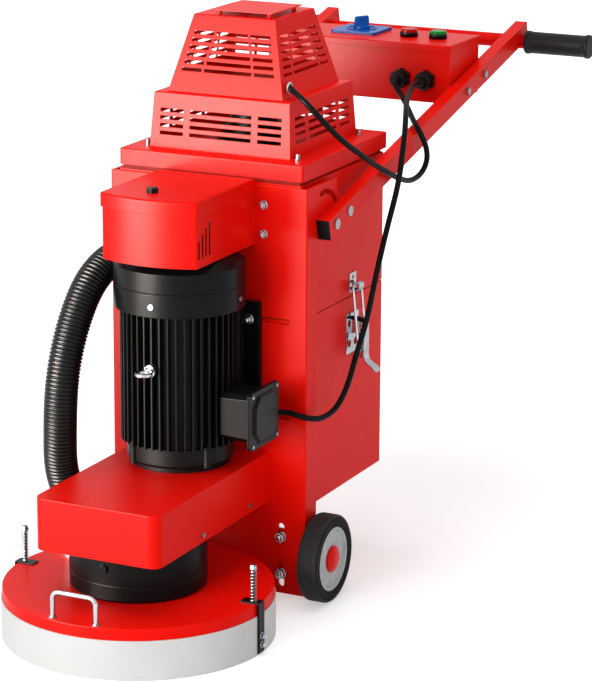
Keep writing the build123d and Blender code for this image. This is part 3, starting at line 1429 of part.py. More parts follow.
plate_face = box_lid_top + switch_plate_height
with BuildPart() as rotary_knob:
    rod(21, (switch_x, switch_y, plate_face + running_fit), (switch_x, switch_y, plate_face + 7))
    with BuildSketch(Plane.XY.offset(plate_face + 7)):
        with Locations((switch_x, switch_y)):
            SlotOverall(40, 13, rotation=90)
    extrude(amount=23)
    fillet(rotary_knob.edges().group_by(Axis.Z)[-1], radius=2)
    rod(knob_stem, (switch_x, switch_y, box_top + 2), (switch_x, switch_y, plate_face + 1))
finish_piece(rotary_knob, "rotary_knob")

for x, name in ((stop_x, "stop_button"), (start_x, "start_button")):
    with BuildPart() as button:
        cap_bottom = box_lid_top + collar_height + button_gap
        rod(button_radius, (x, button_y, cap_bottom), (x, button_y, cap_bottom + button_thick))
        fillet(button.edges().group_by(Axis.Z)[-1], radius=4)
        rod(stem_radius, (x, button_y, box_top + 4), (x, button_y, cap_bottom + 1))
        lid_under = box_lid_top - box_sheet - touch_gap
        rod(stem_radius + 4, (x, button_y, lid_under - 3), (x, button_y, lid_under))
    finish_piece(button, name)

# Rubber-sheathed cables, hanging free between their glands
vacuum_cable_route = [
    vacuum_gland,
    (gland_x[0], behind(729), gland_z),
    (156, behind(701), 1020),
    (206, behind(616), 1015),
    (248, behind(547), 1006),
    (276, behind(509), 995),
    (290, behind(508), 975),
    (294, behind(524), 948),
    (294, behind(533), 919),
    (293, behind(517), 896),
    (292, behind(481), 883),
    (291, behind(431), 883),
    (290, behind(365), 905),
    (287, behind(284), 940),
    (278, behind(200), 985),
    (262, behind(130), 1029),
    (240, behind(84), 1076),
    (214, behind(67), 1111),
    (186, behind(70), 1132),
    (grommet_x + 4, *grommet_place),
]
motor_cable_route = [
    motor_gland,
    (gland_x[1], behind(722), gland_z),
    (205, behind(639), 1062),
    (248, behind(513), 1056),
    (280, behind(437), 1039),
    (300, behind(388), 1008),
    (308, behind(359), 966),
    (310, behind(339), 915),
    (308, behind(321), 870),
    (303, behind(287), 801),
    (297, behind(246), 705),
    (292, behind(211), 608),
    (287, behind(170), 543),
    (280, behind(136), 469),
    (273, behind(92), 428),
    (264, behind(36), 419),
    (251, ahead(6), 430),
    (233, ahead(20), 438),
    (201, ahead(17), 442),
    (terminal_gland[0], ahead(44), terminal_gland[2]),
    terminal_gland,
]

with BuildPart() as vacuum_cable:
    expected = lay_cable(vacuum_cable_route, cable_radius, "vacuum cable")
print("vacuum cable volume against its section and length", round(vacuum_cable.part.volume / expected, 4))
finish_piece(vacuum_cable, "vacuum_cable")

with BuildPart() as motor_cable:
    expected = lay_cable(motor_cable_route, cable_radius, "motor cable")
print("motor cable volume against its section and length", round(motor_cable.part.volume / expected, 4))
finish_piece(motor_cable, "motor_cable")

# ================================================================ lifting points and screws
with BuildPart() as lifting_points:
    with BuildLine() as handle_path:
        FilletPolyline(
            (-lift_handle_half, lift_handle_y, cover_top),
            (-lift_handle_half, lift_handle_y, cover_top + lift_handle_height),
            (lift_handle_half, lift_handle_y, cover_top + lift_handle_height),
            (lift_handle_half, lift_handle_y, cover_top),
            radius=16,
        )
    with BuildSketch(Plane((-lift_handle_half, lift_handle_y, cover_top), z_dir=(0, 0, 1))):
        Circle(lift_handle_rod)
    sweep()
    for side in (-1, 1):
        rod(9, (side * lift_handle_half, lift_handle_y, cover_top),
            (side * lift_handle_half, lift_handle_y, cover_top + 3))
    # Lifting eye, its ring lying level, screwed into the boss on the motor
    seat = motor_y - fin_radius - 1
    rod(13, (0, seat, eye_height), (0, seat - 8, eye_height))
    rod(5, (0, seat - 7, eye_height), (0, seat - 18, eye_height))
    with Locations((0, seat - 13 - eye_radius - eye_rod, eye_height)):
        Torus(eye_radius, eye_rod)
finish_piece(lifting_points, "lifting_points")

with BuildPart() as fasteners:
    for side in (-1, 1):
        # Motor foot bolts
        for z in (foot_top_bolt, foot_top_bolt - foot_pitch):
            x = side * foot_spacing / 2
            rod(11, (x, ahead(foot_thickness), z), (x, ahead(foot_thickness + 2), z))
            hexagon(17, (x, ahead(foot_thickness + 2), z), (x, ahead(foot_thickness + 9), z))
            rod(clamp_bolt_radius - 0.5 - running_fit, (x, ahead(foot_thickness), z), (x, plate_y + 6, z))
        # Intake cover screws
        for z in (899, 834):
            rod(8, (side * box_bolt_x, ahead(box_ear_sheet), z), (side * box_bolt_x, ahead(box_ear_sheet + 1.5), z))
            hexagon(10, (side * box_bolt_x, ahead(box_ear_sheet + 1.5), z),
                    (side * box_bolt_x, ahead(box_ear_sheet + 7), z))
        # Belt housing side screws
        for distance in (314, 91):
            rod(6, (side * housing_half, ahead(distance), 238), (side * (housing_half + 4), ahead(distance), 238))
        # Spring bolts of the floating skirt, screwed down into the disc cover
        x = side * spring_bolt_x
        rod(spring_bolt_radius, (x, spring_bolt_y, cover_under - 8), (x, spring_bolt_y, spring_bolt_top + 4))
        hexagon(13, (x, spring_bolt_y, spring_bolt_top + 2), (x, spring_bolt_y, spring_bolt_top + 8))
        rod(spring_radius + 1, (x, spring_bolt_y, spring_bolt_top), (x, spring_bolt_y, spring_bolt_top + 2))
        hexagon(13, (x, spring_bolt_y, cover_under), (x, spring_bolt_y, cover_under - 6))
        # Hood base corner nuts
        for distance in (-1, 1):
            corner = (side * (base_bottom_width / 2 + 12), hood_y + distance * (base_bottom_depth / 2 - 14))
            rod(7, (*corner, lid_top), (*corner, lid_top + 2))
            rod(5, (*corner, lid_top), (*corner, lid_top + 12))
    # Cowl screws
    for angle in (-87, 3, 177):
        away = Vector(cos(radians(angle)), sin(radians(angle)), 0)
        middle = Vector(0, motor_y, cowl_bottom + 23.5)
        rod(6, tuple(middle + away * cowl_radius), tuple(middle + away * (cowl_radius + 3)))
    # Terminal box cover screws
    for distance in (190, 76):
        for z in (408, 519):
            face = terminal_outer + terminal_cover
            rod(4, (face, ahead(distance), z), (face + 2.5, ahead(distance), z))
finish_piece(fasteners, "fasteners")
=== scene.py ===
"""Dresses a walk-behind concrete floor grinder: finishes, dust hose, leads, springs, tyres and small fittings."""

from math import cos, pi, radians, sin

import bpy
from bpy.props import FloatProperty, FloatVectorProperty, IntProperty, PointerProperty
from mathutils import Matrix, Vector


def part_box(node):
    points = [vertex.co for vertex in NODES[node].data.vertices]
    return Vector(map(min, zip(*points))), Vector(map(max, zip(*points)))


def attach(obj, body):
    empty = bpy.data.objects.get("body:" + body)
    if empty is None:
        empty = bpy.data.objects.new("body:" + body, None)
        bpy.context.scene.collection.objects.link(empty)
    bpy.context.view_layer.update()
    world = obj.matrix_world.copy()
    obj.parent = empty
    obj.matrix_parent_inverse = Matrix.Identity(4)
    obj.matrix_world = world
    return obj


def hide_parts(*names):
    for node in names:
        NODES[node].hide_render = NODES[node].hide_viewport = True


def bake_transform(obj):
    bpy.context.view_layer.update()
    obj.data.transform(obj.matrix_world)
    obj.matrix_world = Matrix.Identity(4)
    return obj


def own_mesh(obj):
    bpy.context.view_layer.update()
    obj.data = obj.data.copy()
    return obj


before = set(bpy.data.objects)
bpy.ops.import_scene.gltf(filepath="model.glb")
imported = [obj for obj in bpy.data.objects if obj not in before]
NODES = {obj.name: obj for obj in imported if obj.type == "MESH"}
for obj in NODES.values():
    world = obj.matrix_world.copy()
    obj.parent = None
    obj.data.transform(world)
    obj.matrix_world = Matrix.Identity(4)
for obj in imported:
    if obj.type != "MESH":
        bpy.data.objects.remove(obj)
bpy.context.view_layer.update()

bl_info = {
    "name": "Floor Grinder",
    "version": (1, 0, 0),
    "blender": (4, 5, 0),
    "location": "3D View > Sidebar > Floor Grinder",
    "description": "Finishes, hose, leads and fittings for a walk-behind concrete floor grinder",
    "category": "Object",
}

MM = 0.001

# The front face of the chassis plate. Places along the machine are given as distances behind it.
PLATE_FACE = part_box("front_plate")[0].y
RIGHT, BACK, FORWARD, UP = (1, 0, 0), (0, 1, 0), (0, -1, 0), (0, 0, 1)

# Noise textures hardly leave this span
NOISE_SPAN = {"From Min": 0.3, "From Max": 0.7}
# Cosine of the turn between the flat and the rounded surface where the painted edge highlight starts, and where it is
# full
EDGE_HIGHLIGHT_SPAN = {"From Min": 0.99, "From Max": 0.85}


def linear(code):
    """An sRGB hex colour as the linear values that a shader takes."""
    channels = [int(code[i:i + 2], 16) / 255 for i in (0, 2, 4)]
    return [c / 12.92 if c <= 0.04045 else ((c + 0.055) / 1.055) ** 2.4 for c in channels]


def colour_choice(name, description, code):
    """A colour that a user can change."""
    return FloatVectorProperty(name=name, description=description, subtype="COLOR", size=3,
                               min=0.0, max=1.0, default=linear(code))


def length_choice(name, description, millimetres):
    """A length that a user can change."""
    return FloatProperty(name=name, description=description, subtype="DISTANCE", unit="LENGTH",
                         min=0.0, default=millimetres * MM)


class GrinderColours(bpy.types.PropertyGroup):
    """Colours of the painted, moulded and rubber pieces."""

    panels: colour_choice("Panels", "Powder coat on the sheet metal", "F01005")
    motor: colour_choice("Motor", "Enamel on the motor's castings", "0B0B0C")
    skirt: colour_choice("Skirt", "Moulded skirt round the grinding head", "D6D6D4")
    rims: colour_choice("Rims", "Moulded wheel rims", "C4C6C7")
    rubber: colour_choice("Rubber", "Tyres, leads, hose, grips and black nylon", "0E0E0F")
    switch: colour_choice("Main switch", "Plate and knob of the main switch", "0458B4")
    stop: colour_choice("Stop button", "Cap of the stop button", "C60808")
    start: colour_choice("Start button", "Cap of the start button", "089030")


class GrinderSizes(bpy.types.PropertyGroup):
    """Sizes of the pieces that are made here."""

    hose_diameter: length_choice("Hose diameter", "Outside diameter of the dust hose", 74)
    rib_pitch: length_choice("Rib pitch", "Spacing of the ribs along the dust hose", 8.5)
    rib_depth: length_choice("Rib depth", "Height of the dust hose's ribs", 2.6)
    lead_diameter: length_choice("Lead diameter", "Outside diameter of both rubber leads", 13)
    boot_length: length_choice("Boot length", "Length of the tapered boot where a lead leaves its gland", 24)
    spring_diameter: length_choice("Spring diameter", "Outside diameter of the skirt springs", 15)
    spring_wire: length_choice("Spring wire", "Diameter of the skirt springs' wire", 1.8)
    spring_turns: IntProperty(name="Spring turns", description="Turns in each skirt spring", default=11, min=4)
    tread_groove: length_choice("Tread groove", "Depth of the fine grooves round each tyre", 0.5)


# ---------------------------------------------------------------- finishes
def add_node(tree, kind, inputs=None, **settings):
    """Adds one shader node, sets it up, and fills its inputs with values or with other nodes' outputs."""
    node = tree.nodes.new(kind)
    for name, value in settings.items():
        setattr(node, name, value)
    for name, value in (inputs or {}).items():
        if isinstance(value, bpy.types.NodeSocket):
            tree.links.new(value, node.inputs[name])
        else:
            node.inputs[name].default_value = value
    return node


def blank_tree(owner):
    """The empty node tree of a new material or world."""
    owner.use_nodes = True
    owner.node_tree.nodes.clear()
    return owner.node_tree


def coloured(values):
    """A colour with its alpha, as a socket takes it."""
    return (*values, 1.0)


def surface(name, colour, second, gloss, cloud=60.0, grain=3.0, grain_depth=0.02, edge=1.0, edge_highlight=None,
            stretch=(1, 1, 1), specular=0.5, tint=(1, 1, 1), **shader):
    """A material whose colour drifts softly between two shades, whose gloss is uneven and whose surface has a grain.
    Cloud, grain, depth and edge radius are in millimetres; gloss is the lowest and highest roughness; specular is
    the strength of a coat's reflections, and tint the colour of a metal's at its rims."""
    material = bpy.data.materials.get(name)
    if material:
        return material
    material = bpy.data.materials.new(name)
    tree = blank_tree(material)
    place = add_node(tree, "ShaderNodeTexCoord").outputs["Object"]
    stretched = add_node(tree, "ShaderNodeMapping", {"Vector": place, "Scale": stretch}).outputs["Vector"]
    clouds = add_node(tree, "ShaderNodeTexNoise", {"Vector": place, "Scale": 1000 / cloud, "Detail": 4.0,
                                                   "Roughness": 0.6}).outputs["Fac"]
    speck = add_node(tree, "ShaderNodeTexNoise", {"Vector": stretched, "Scale": 1000 / grain, "Detail": 3.0,
                                                  "Roughness": 0.55}).outputs["Fac"]
    drift = add_node(tree, "ShaderNodeMapRange", {"Value": clouds, **NOISE_SPAN}).outputs["Result"]
    shade = add_node(tree, "ShaderNodeMix", {"Factor": drift, "A": coloured(colour), "B": coloured(second)},
                     data_type="RGBA").outputs[2]
    rounded = add_node(tree, "ShaderNodeBevel", {"Radius": edge * MM}, samples=6).outputs["Normal"]
    # The edge colour is a painted highlight: the rounded edges take a lighter colour whatever the light
    if edge_highlight:
        flat = add_node(tree, "ShaderNodeNewGeometry").outputs["Normal"]
        along = add_node(tree, "ShaderNodeVectorMath", {0: rounded, 1: flat}, operation="DOT_PRODUCT")
        rim = add_node(tree, "ShaderNodeMapRange", {"Value": along.outputs["Value"], **EDGE_HIGHLIGHT_SPAN}).outputs["Result"]
        shade = add_node(tree, "ShaderNodeMix", {"Factor": rim, "A": shade, "B": coloured(edge_highlight)},
                         data_type="RGBA").outputs[2]
    rough = add_node(tree, "ShaderNodeMapRange", {"Value": speck, **NOISE_SPAN, "To Min": gloss[0],
                                                  "To Max": gloss[1]}).outputs["Result"]
    bump = add_node(tree, "ShaderNodeBump", {"Height": speck, "Distance": grain_depth * MM, "Strength": 1.0,
                                             "Normal": rounded}).outputs["Normal"]
    body = add_node(tree, "ShaderNodeBsdfPrincipled", {"Base Color": shade, "Roughness": rough, "Normal": bump,
                                                       "Specular IOR Level": specular,
                                                       "Specular Tint": coloured(tint), **shader})
    add_node(tree, "ShaderNodeOutputMaterial", {"Surface": body.outputs["BSDF"]})
    return material


def chosen():
    """The colours chosen in the sidebar."""
    return bpy.context.scene.grinder_colours


def shaded(values, share):
    """A colour made lighter or darker by a share."""
    return [min(1.0, v * share) for v in values]


def red_powder_coat():
    """Polyester powder coat, sprayed on bent sheet and baked: deep glossy red, a faint orange peel, and a painted
    highlight in brighter orange along the edges. The peel is about 2 mm wide and is drawn at 7 mm so that it shows.
    Its reflections are weak, so the colour stays deep."""
    red = chosen().panels
    return surface("powder_coat_red", red, shaded(red, 0.96), (0.32, 0.4), cloud=140, grain=7, grain_depth=0.006,
                   edge=1.2, edge_highlight=linear("FF4A1C"), IOR=1.5, specular=0.06)


def black_cast_enamel():
    """Aluminium castings under brushed-on satin enamel: near black, a soft wide highlight, and the casting's grain.
    The sand grain is about 0.5 mm and is drawn at 2 mm."""
    black = chosen().motor
    # The lighter edge colour is a painted highlight
    return surface("cast_enamel_black", black, shaded(black, 1.35), (0.36, 0.5), cloud=50, grain=2.0,
                   grain_depth=0.05, edge=1.2, edge_highlight=shaded(black, 2.4), IOR=1.5, specular=0.1)


def black_pressed_enamel():
    """Satin enamel sprayed on pressed steel and smooth lids: near black, cleaner and shinier than the castings."""
    black = chosen().motor
    # The lighter edge colour is a painted highlight
    return surface("pressed_enamel_black", shaded(black, 0.9), shaded(black, 1.15), (0.28, 0.36), cloud=90,
                   grain=5.0, grain_depth=0.02, edge=1.5, edge_highlight=shaded(black, 2.4), IOR=1.5,
                   specular=0.08)


def bright_zinc():
    """Zinc plate on steel screws, the axle and hose bands: cool silver with a soft bloom and fine rolling lines."""
    return surface("zinc_plated_steel", linear("B4B7BB"), linear("96999E"), (0.2, 0.36), cloud=9, grain=0.8,
                   grain_depth=0.01, edge=0.5, Metallic=1.0, tint=linear("84878C"))


def black_oxide():
    """Black oxide on steel threads, oiled: near black, with a dull metal shine on the crests."""
    return surface("black_oxide_steel", linear("26262A"), linear("37373B"), (0.3, 0.45), cloud=5, grain=0.6,
                   grain_depth=0.008, edge=0.3, Metallic=0.9)


def polished_zinc():
    """Zinc plate on hexagon nuts and washers, barrel-polished: bright blue-silver, clear on the flats."""
    return surface("zinc_plated_nuts", linear("CFD2D6"), linear("B9BDC2"), (0.14, 0.24), cloud=7, grain=0.7,
                   grain_depth=0.006, edge=0.4, Metallic=1.0, tint=linear("6A6D72"))


def chrome():
    """Chromium plate on bent rod and pressed latches, polished: a clear mirror with a trace of polishing haze."""
    return surface("polished_chrome", linear("C6C9CC"), linear("B2B5B9"), (0.05, 0.12), cloud=20, grain=1.2,
                   grain_depth=0.003, edge=0.5, Metallic=1.0, tint=linear("5C5F64"))


def turned_steel():
    """Carbon steel, turned and oiled: grey metal with rings left by the tool, 0.3 mm apart and drawn at 1.5 mm."""
    return surface("turned_steel", linear("8C8E90"), linear("6F7173"), (0.3, 0.45), cloud=12, grain=1.5,
                   grain_depth=0.02, edge=0.6, stretch=(0.15, 0.15, 1), Metallic=1.0)


def cast_iron():
    """Grey iron, cast and left bare: dark, dull and grainy, with a touch of rust bloom."""
    return surface("bare_cast_iron", linear("4A4745"), linear("3A332E"), (0.5, 0.7), cloud=14, grain=1.4,
                   grain_depth=0.12, edge=1.0, Metallic=0.85)


def tyre_rubber():
    """Solid black rubber, moulded and turned true: charcoal, almost matt, with fine lines round the walls."""
    black = chosen().rubber
    # The lighter edge colour is a painted highlight
    return surface("tyre_rubber", shaded(black, 1.1), shaded(black, 1.9), (0.55, 0.72), cloud=16, grain=1.6,
                   grain_depth=0.08, edge=1.0, edge_highlight=shaded(black, 3.0), stretch=(1, 0.03, 0.03), IOR=1.52,
                   specular=0.06)


def worn_tread():
    """The tyre's tread, scuffed by running on concrete: greyer and duller than the walls, with lines round it."""
    black = chosen().rubber
    return surface("tyre_tread_rubber", shaded(black, 4.6), shaded(black, 2.8), (0.6, 0.75), cloud=12, grain=1.4,
                   grain_depth=0.08, edge=0.8, stretch=(1, 0.03, 0.03), IOR=1.52, specular=0.2)


def lead_rubber():
    """Chloroprene sheath, extruded: black with a soft sheen and faint lines along the lead."""
    black = chosen().rubber
    return surface("lead_rubber", black, shaded(black, 1.5), (0.36, 0.48), cloud=25, grain=1.2, grain_depth=0.015,
                   edge=0.5, IOR=1.52, specular=0.05)


def grip_rubber():
    """Thermoplastic rubber sleeve, moulded: black, evenly matt, with a leathery grain and a painted shine along its
    edges.
    """
    black = chosen().rubber
    return surface("grip_rubber", shaded(black, 1.1), shaded(black, 1.6), (0.42, 0.55), cloud=18, grain=1.8,
                   grain_depth=0.04, edge=1.0, edge_highlight=shaded(black, 2.6), IOR=1.5, specular=0.2)


def hose_plastic():
    """Blown polyethylene hose: black and glossy, its tone and gloss drifting in soft random patches."""
    black = chosen().rubber
    return surface("hose_plastic", shaded(black, 0.85), shaded(black, 1.5), (0.24, 0.38), cloud=30, grain=3.0,
                   grain_depth=0.03, edge=0.5, IOR=1.51, specular=0.15)


def black_nylon():
    """Glass-filled nylon, moulded: dark, evenly satin, with a fine spark-eroded grain."""
    black = chosen().rubber
    # The lighter edge colour is a painted highlight
    return surface("moulded_nylon", shaded(black, 0.9), shaded(black, 1.3), (0.3, 0.42), cloud=12, grain=1.0,
                   grain_depth=0.02, edge=0.8, edge_highlight=shaded(black, 2.2), IOR=1.53,
                   specular=0.1)


def grey_rim_plastic():
    """Polypropylene, moulded in pale grey: a soft sheen with soft patches of lighter and darker tone."""
    grey = chosen().rims
    # The lighter edge colour is a painted highlight
    return surface("moulded_rim_grey", grey, shaded(grey, 0.66), (0.32, 0.45), cloud=16, grain=2.5,
                   grain_depth=0.02, edge=0.8, edge_highlight=shaded(grey, 1.2), IOR=1.49, specular=0.3)


def skirt_rubber():
    """Thermoplastic rubber strip, extruded in pale grey: smooth and matt, with a faint grain."""
    grey = chosen().skirt
    return surface("skirt_rubber_grey", grey, shaded(grey, 0.93), (0.5, 0.62), cloud=110, grain=3.0,
                   grain_depth=0.02, edge=0.8, stretch=(1, 1, 6), IOR=1.5, specular=0.15)


def moulded_colour(name, colour):
    """ABS, moulded in its colour and polished: bright, glossy and slightly deeper in soft random patches."""
    # The lighter edge colour is a painted highlight
    return surface(name, colour, shaded(colour, 0.85), (0.24, 0.34), cloud=24, grain=4.0, grain_depth=0.01,
                   edge=0.8, edge_highlight=shaded(colour, 1.3), IOR=1.54, specular=0.1)


def seal_silicone():
    """Silicone sponge cord, extruded in oxide red: matt and soft, with darker patches at random."""
    return surface("silicone_sponge", linear("B4140C"), linear("8C0E08"), (0.6, 0.75), cloud=10, grain=1.0,
                   grain_depth=0.03, edge=0.5, IOR=1.41, specular=0.1)


def pale_grommet():
    """Soft PVC, moulded in pale grey: smooth and waxy."""
    return surface("moulded_pvc_grey", linear("C9C9C6"), linear("B8B8B4"), (0.4, 0.5), cloud=8, grain=1.0,
                   grain_depth=0.01, edge=0.4, IOR=1.53)


def pleated_paper():
    """Pleated filter paper: warm off-white, matt and fibrous."""
    return surface("filter_paper", linear("D9D2BF"), linear("C7BEA6"), (0.8, 0.95), cloud=12, grain=1.0,
                   grain_depth=0.08, edge=0.5, IOR=1.45)


def wound_copper():
    """Enamelled copper wire wound in bundles, bound and varnished: amber brown with a wet gloss between wires."""
    return surface("wound_copper", linear("B4582A"), linear("7E3A1C"), (0.25, 0.45), cloud=8, grain=1.2,
                   grain_depth=0.15, edge=0.5, stretch=(1, 1, 5), Metallic=0.8)


def spun_aluminium():
    """Aluminium, cast and spun: pale silver with rings left by the lathe."""
    return surface("spun_aluminium", linear("C3C5C7"), linear("A8ABAE"), (0.25, 0.4), cloud=14, grain=1.6,
                   grain_depth=0.02, edge=0.6, stretch=(0.2, 0.2, 1), Metallic=1.0)


def give_finish(names, material):
    """Puts one finish on several CAD nodes."""
    for name in names:
        mesh = NODES[name].data
        mesh.materials.clear()
        mesh.materials.append(material)


# ---------------------------------------------------------------- shaping
def new_piece(name, points, faces, material, body, slot, smooth=True):
    """A mesh piece with its finish, riding on a body. Without a body it stays free."""
    mesh = bpy.data.meshes.new(name)
    mesh.from_pydata([tuple(p) for p in points], [], faces)
    mesh.validate()
    mesh.materials.append(material)
    if smooth:
        mesh.shade_smooth()
    piece = bpy.data.objects.new(name, mesh)
    bpy.context.scene.collection.objects.link(piece)
    if body:
        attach(piece, body)
    return piece


def skin(rings, closed=False):
    """Faces between rings of points that all have the same count, with flat caps unless the row closes on itself."""
    count = len(rings[0])
    points = [p for ring in rings for p in ring]
    faces = []
    rows = len(rings) if closed else len(rings) - 1
    for row in range(rows):
        here, there = row * count, (row + 1) % len(rings) * count
        for i in range(count):
            j = (i + 1) % count
            faces.append((here + i, here + j, there + j, there + i))
    if not closed:
        faces.append(tuple(reversed(range(count))))
        faces.append(tuple(range(len(points) - count, len(points))))
    return points, faces


def joined(*shapes):
    """Several sets of points and faces as one."""
    points, faces = [], []
    for more, their_faces in shapes:
        faces += [tuple(i + len(points) for i in face) for face in their_faces]
        points += list(more)
    return points, faces


def turned(profile, centre, axis, steps=64):
    """Rings round an axis. The profile is a list of (distance along the axis, radius)."""
    axis = Vector(axis).normalized()
    side = axis.orthogonal().normalized()
    across = axis.cross(side)
    turns = [2 * pi * i / steps for i in range(steps)]
    return [[Vector(centre) + axis * along + (side * cos(turn) + across * sin(turn)) * radius for turn in turns]
            for along, radius in profile]


def turned_piece(name, profile, centre, axis, steps, material, body, slot):
    """A hollow piece turned round an axis from a profile that closes on itself."""
    return new_piece(name, *skin(turned(profile, centre, axis, steps), closed=True), material, body, slot)


def frames_along(points):
    """For each point of a line, two directions across it that turn as little as they can."""
    across = None
    frames = []
    for i, point in enumerate(points):
        ahead = (points[min(i + 1, len(points) - 1)] - points[max(i - 1, 0)]).normalized()
        across = ahead.orthogonal() if across is None else across - ahead * across.dot(ahead)
        across.normalize()
        frames.append((point, across.copy(), ahead.cross(across)))
    return frames


def evenly(points, step):
    """Points spaced evenly along a line, near the step asked for."""
    lengths = [0.0]
    for a, b in zip(points, points[1:]):
        lengths.append(lengths[-1] + (b - a).length)
    count = max(2, round(lengths[-1] / step))
    spaced, i = [], 0
    for n in range(count + 1):
        goal = lengths[-1] * n / count
        while i < len(points) - 2 and lengths[i + 1] < goal:
            i += 1
        share = (goal - lengths[i]) / max(1e-9, lengths[i + 1] - lengths[i])
        spaced.append(points[i].lerp(points[i + 1], share))
    return spaced


def rings_along(points, radii, sides):
    """Rings round a line of points, each with its own radius."""
    return [[point + (u * cos(2 * pi * i / sides) + v * sin(2 * pi * i / sides)) * radius for i in range(sides)]
            for (point, u, v), radius in zip(frames_along(points), radii)]


def laid_line(name, route):
    """The smooth line of a lead or hose, read from a NURBS spline whose control points are its route.
    The route is given in metres: across, behind the chassis plate's face, and up."""
    curve = bpy.data.curves.new(name, "CURVE")
    curve.dimensions = "3D"
    curve.resolution_u = 12
    spline = curve.splines.new("NURBS")
    spline.points.add(len(route) - 1)
    for point, (x, behind, z) in zip(spline.points, route):
        point.co = (x, PLATE_FACE + behind, z, 1.0)
    spline.order_u = 3
    spline.use_endpoint_u = True
    holder = bpy.data.objects.new(name, curve)
    bpy.context.scene.collection.objects.link(holder)
    mesh = bpy.data.meshes.new_from_object(holder)
    line = [v.co.copy() for v in mesh.vertices]
    bpy.data.objects.remove(holder)
    bpy.data.meshes.remove(mesh)
    return line


def drilled_plate(origin, side, place, half, hole, thick):
    """A flat plate on the cabinet's side with a round hole through it. Its place is behind and above the origin,
    its half size is given the same way, and hole is a radius. All but the origin is in millimetres."""
    rims, steps = [], 40
    for out, radius in ((0, None), (thick, None), (thick, hole), (0, hole)):
        ring = []
        for i in range(steps):
            turn = 2 * pi * (i + 0.5) / steps
            across, up = cos(turn), sin(turn)
            reach = radius or min(half[0] / abs(across), half[1] / abs(up))
            ring.append(origin + MM * Vector((side * out, place[0] + reach * across, place[1] + reach * up)))
        rims.append(ring)
    return skin(rims, closed=True)


def nut_on_stud(name, seat, axis, flats, washer, stud, body):
    """A hexagon nut on its washer, with the end of its threaded stud standing out. Flats is the width across the
    nut's flats; washer and stud are radii. All sizes are in metres."""
    seat, axis = Vector(seat), Vector(axis)
    corner = flats / 3 ** 0.5
    thick, high, chamfered, root = 0.0016, flats * 0.55, corner * 0.87, stud * 0.93
    top, pitch, turns = thick + high, stud * 0.16, 6
    washer_rings = turned([(0, washer), (thick - 0.0004, washer), (thick, washer - 0.0005)], seat, axis, 40)
    nut_rings = turned([(thick, corner * 0.93), (thick + 0.0006, corner), (top - 0.001, corner), (top, chamfered)],
                       seat, axis, 6)
    thread = []
    for turn in range(turns):
        along = top + turn * pitch
        thread += [(along, root), (along + pitch / 2, stud)]
    thread.append((top + stud, stud * 0.75))
    stud_rings = turned(thread, seat, axis, 24)
    return new_piece(name, *joined(skin(washer_rings), skin(nut_rings), skin(stud_rings)), polished_zinc(), body,
                     "zinc", smooth=False)


# Control points in metres: across, behind the chassis plate's face, and up
HOSE_ROUTE = (
    (-0.176, -0.036, 0.770), (-0.176, -0.084, 0.770), (-0.187, -0.128, 0.760), (-0.198, -0.184, 0.724),
    (-0.206, -0.231, 0.658), (-0.211, -0.268, 0.576), (-0.214, -0.284, 0.498), (-0.222, -0.277, 0.400),
    (-0.233, -0.258, 0.318), (-0.224, -0.238, 0.252), (-0.212, -0.222, 0.200), (-0.212, -0.222, 0.150),
)
VACUUM_LEAD_ROUTE = (
    (0.1165, 0.748, 1.053), (0.1165, 0.729, 1.053), (0.156, 0.701, 1.020), (0.206, 0.616, 1.015),
    (0.248, 0.547, 1.006), (0.276, 0.509, 0.995), (0.290, 0.508, 0.975), (0.294, 0.524, 0.948),
    (0.294, 0.533, 0.919), (0.293, 0.517, 0.896), (0.292, 0.481, 0.883), (0.291, 0.431, 0.883),
    (0.290, 0.365, 0.905), (0.287, 0.284, 0.940), (0.278, 0.200, 0.985), (0.262, 0.130, 1.029),
    (0.240, 0.084, 1.076), (0.214, 0.067, 1.111), (0.186, 0.070, 1.132), (0.141, 0.118, 1.137),
)
MOTOR_LEAD_ROUTE = (
    (0.181, 0.748, 1.053), (0.181, 0.722, 1.053), (0.205, 0.639, 1.062), (0.248, 0.513, 1.056),
    (0.280, 0.437, 1.039), (0.300, 0.388, 1.008), (0.308, 0.359, 0.966), (0.310, 0.339, 0.915),
    (0.308, 0.321, 0.870), (0.303, 0.287, 0.801), (0.297, 0.246, 0.705), (0.292, 0.211, 0.608),
    (0.287, 0.170, 0.543), (0.280, 0.136, 0.469), (0.273, 0.092, 0.428), (0.264, 0.036, 0.419),
    (0.251, -0.006, 0.430), (0.233, -0.020, 0.438), (0.201, -0.017, 0.442), (0.165, -0.044, 0.440),
    (0.165, -0.064, 0.440),
)


def lay_lead(name, route, replaced, foot_swell):
    """One rubber lead from the control box to the machine, with its boots. The swell
    is how much thicker a boot is than the lead at its gland, in millimetres."""
    lead_step, boot_step, top_swell, boot_reach = 0.006, 0.002, 4.2, 12
    slack, groove_share = 0.0006, 0.28
    sizes = bpy.context.scene.grinder_sizes
    radius = sizes.lead_diameter / 2
    line = laid_line(name, route)
    points = evenly(line, lead_step)
    lead = new_piece(name, *skin(rings_along(points, [radius] * len(points), 20)), lead_rubber(), None, "rubber")
    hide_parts(replaced)
    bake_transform(lead)
    for end, body, ahead, swell in (("top", "handle", points, top_swell),
                                    ("foot", "chassis", points[::-1], foot_swell)):
        near = evenly(ahead[:boot_reach], boot_step)[:int(sizes.boot_length / boot_step)]
        radii = []
        for i in range(len(near)):
            taper = radius + swell * MM * (1 - i / len(near)) + slack
            # Every third ring past the collar is a groove, so that the boot can bend
            radii.append(taper - (swell * groove_share * MM if i % 3 == 2 and i > 2 else 0))
        new_piece(f"{name}_boot_{end}", *skin(rings_along(near, radii, 24)), black_nylon(), body,
                               "rubber")


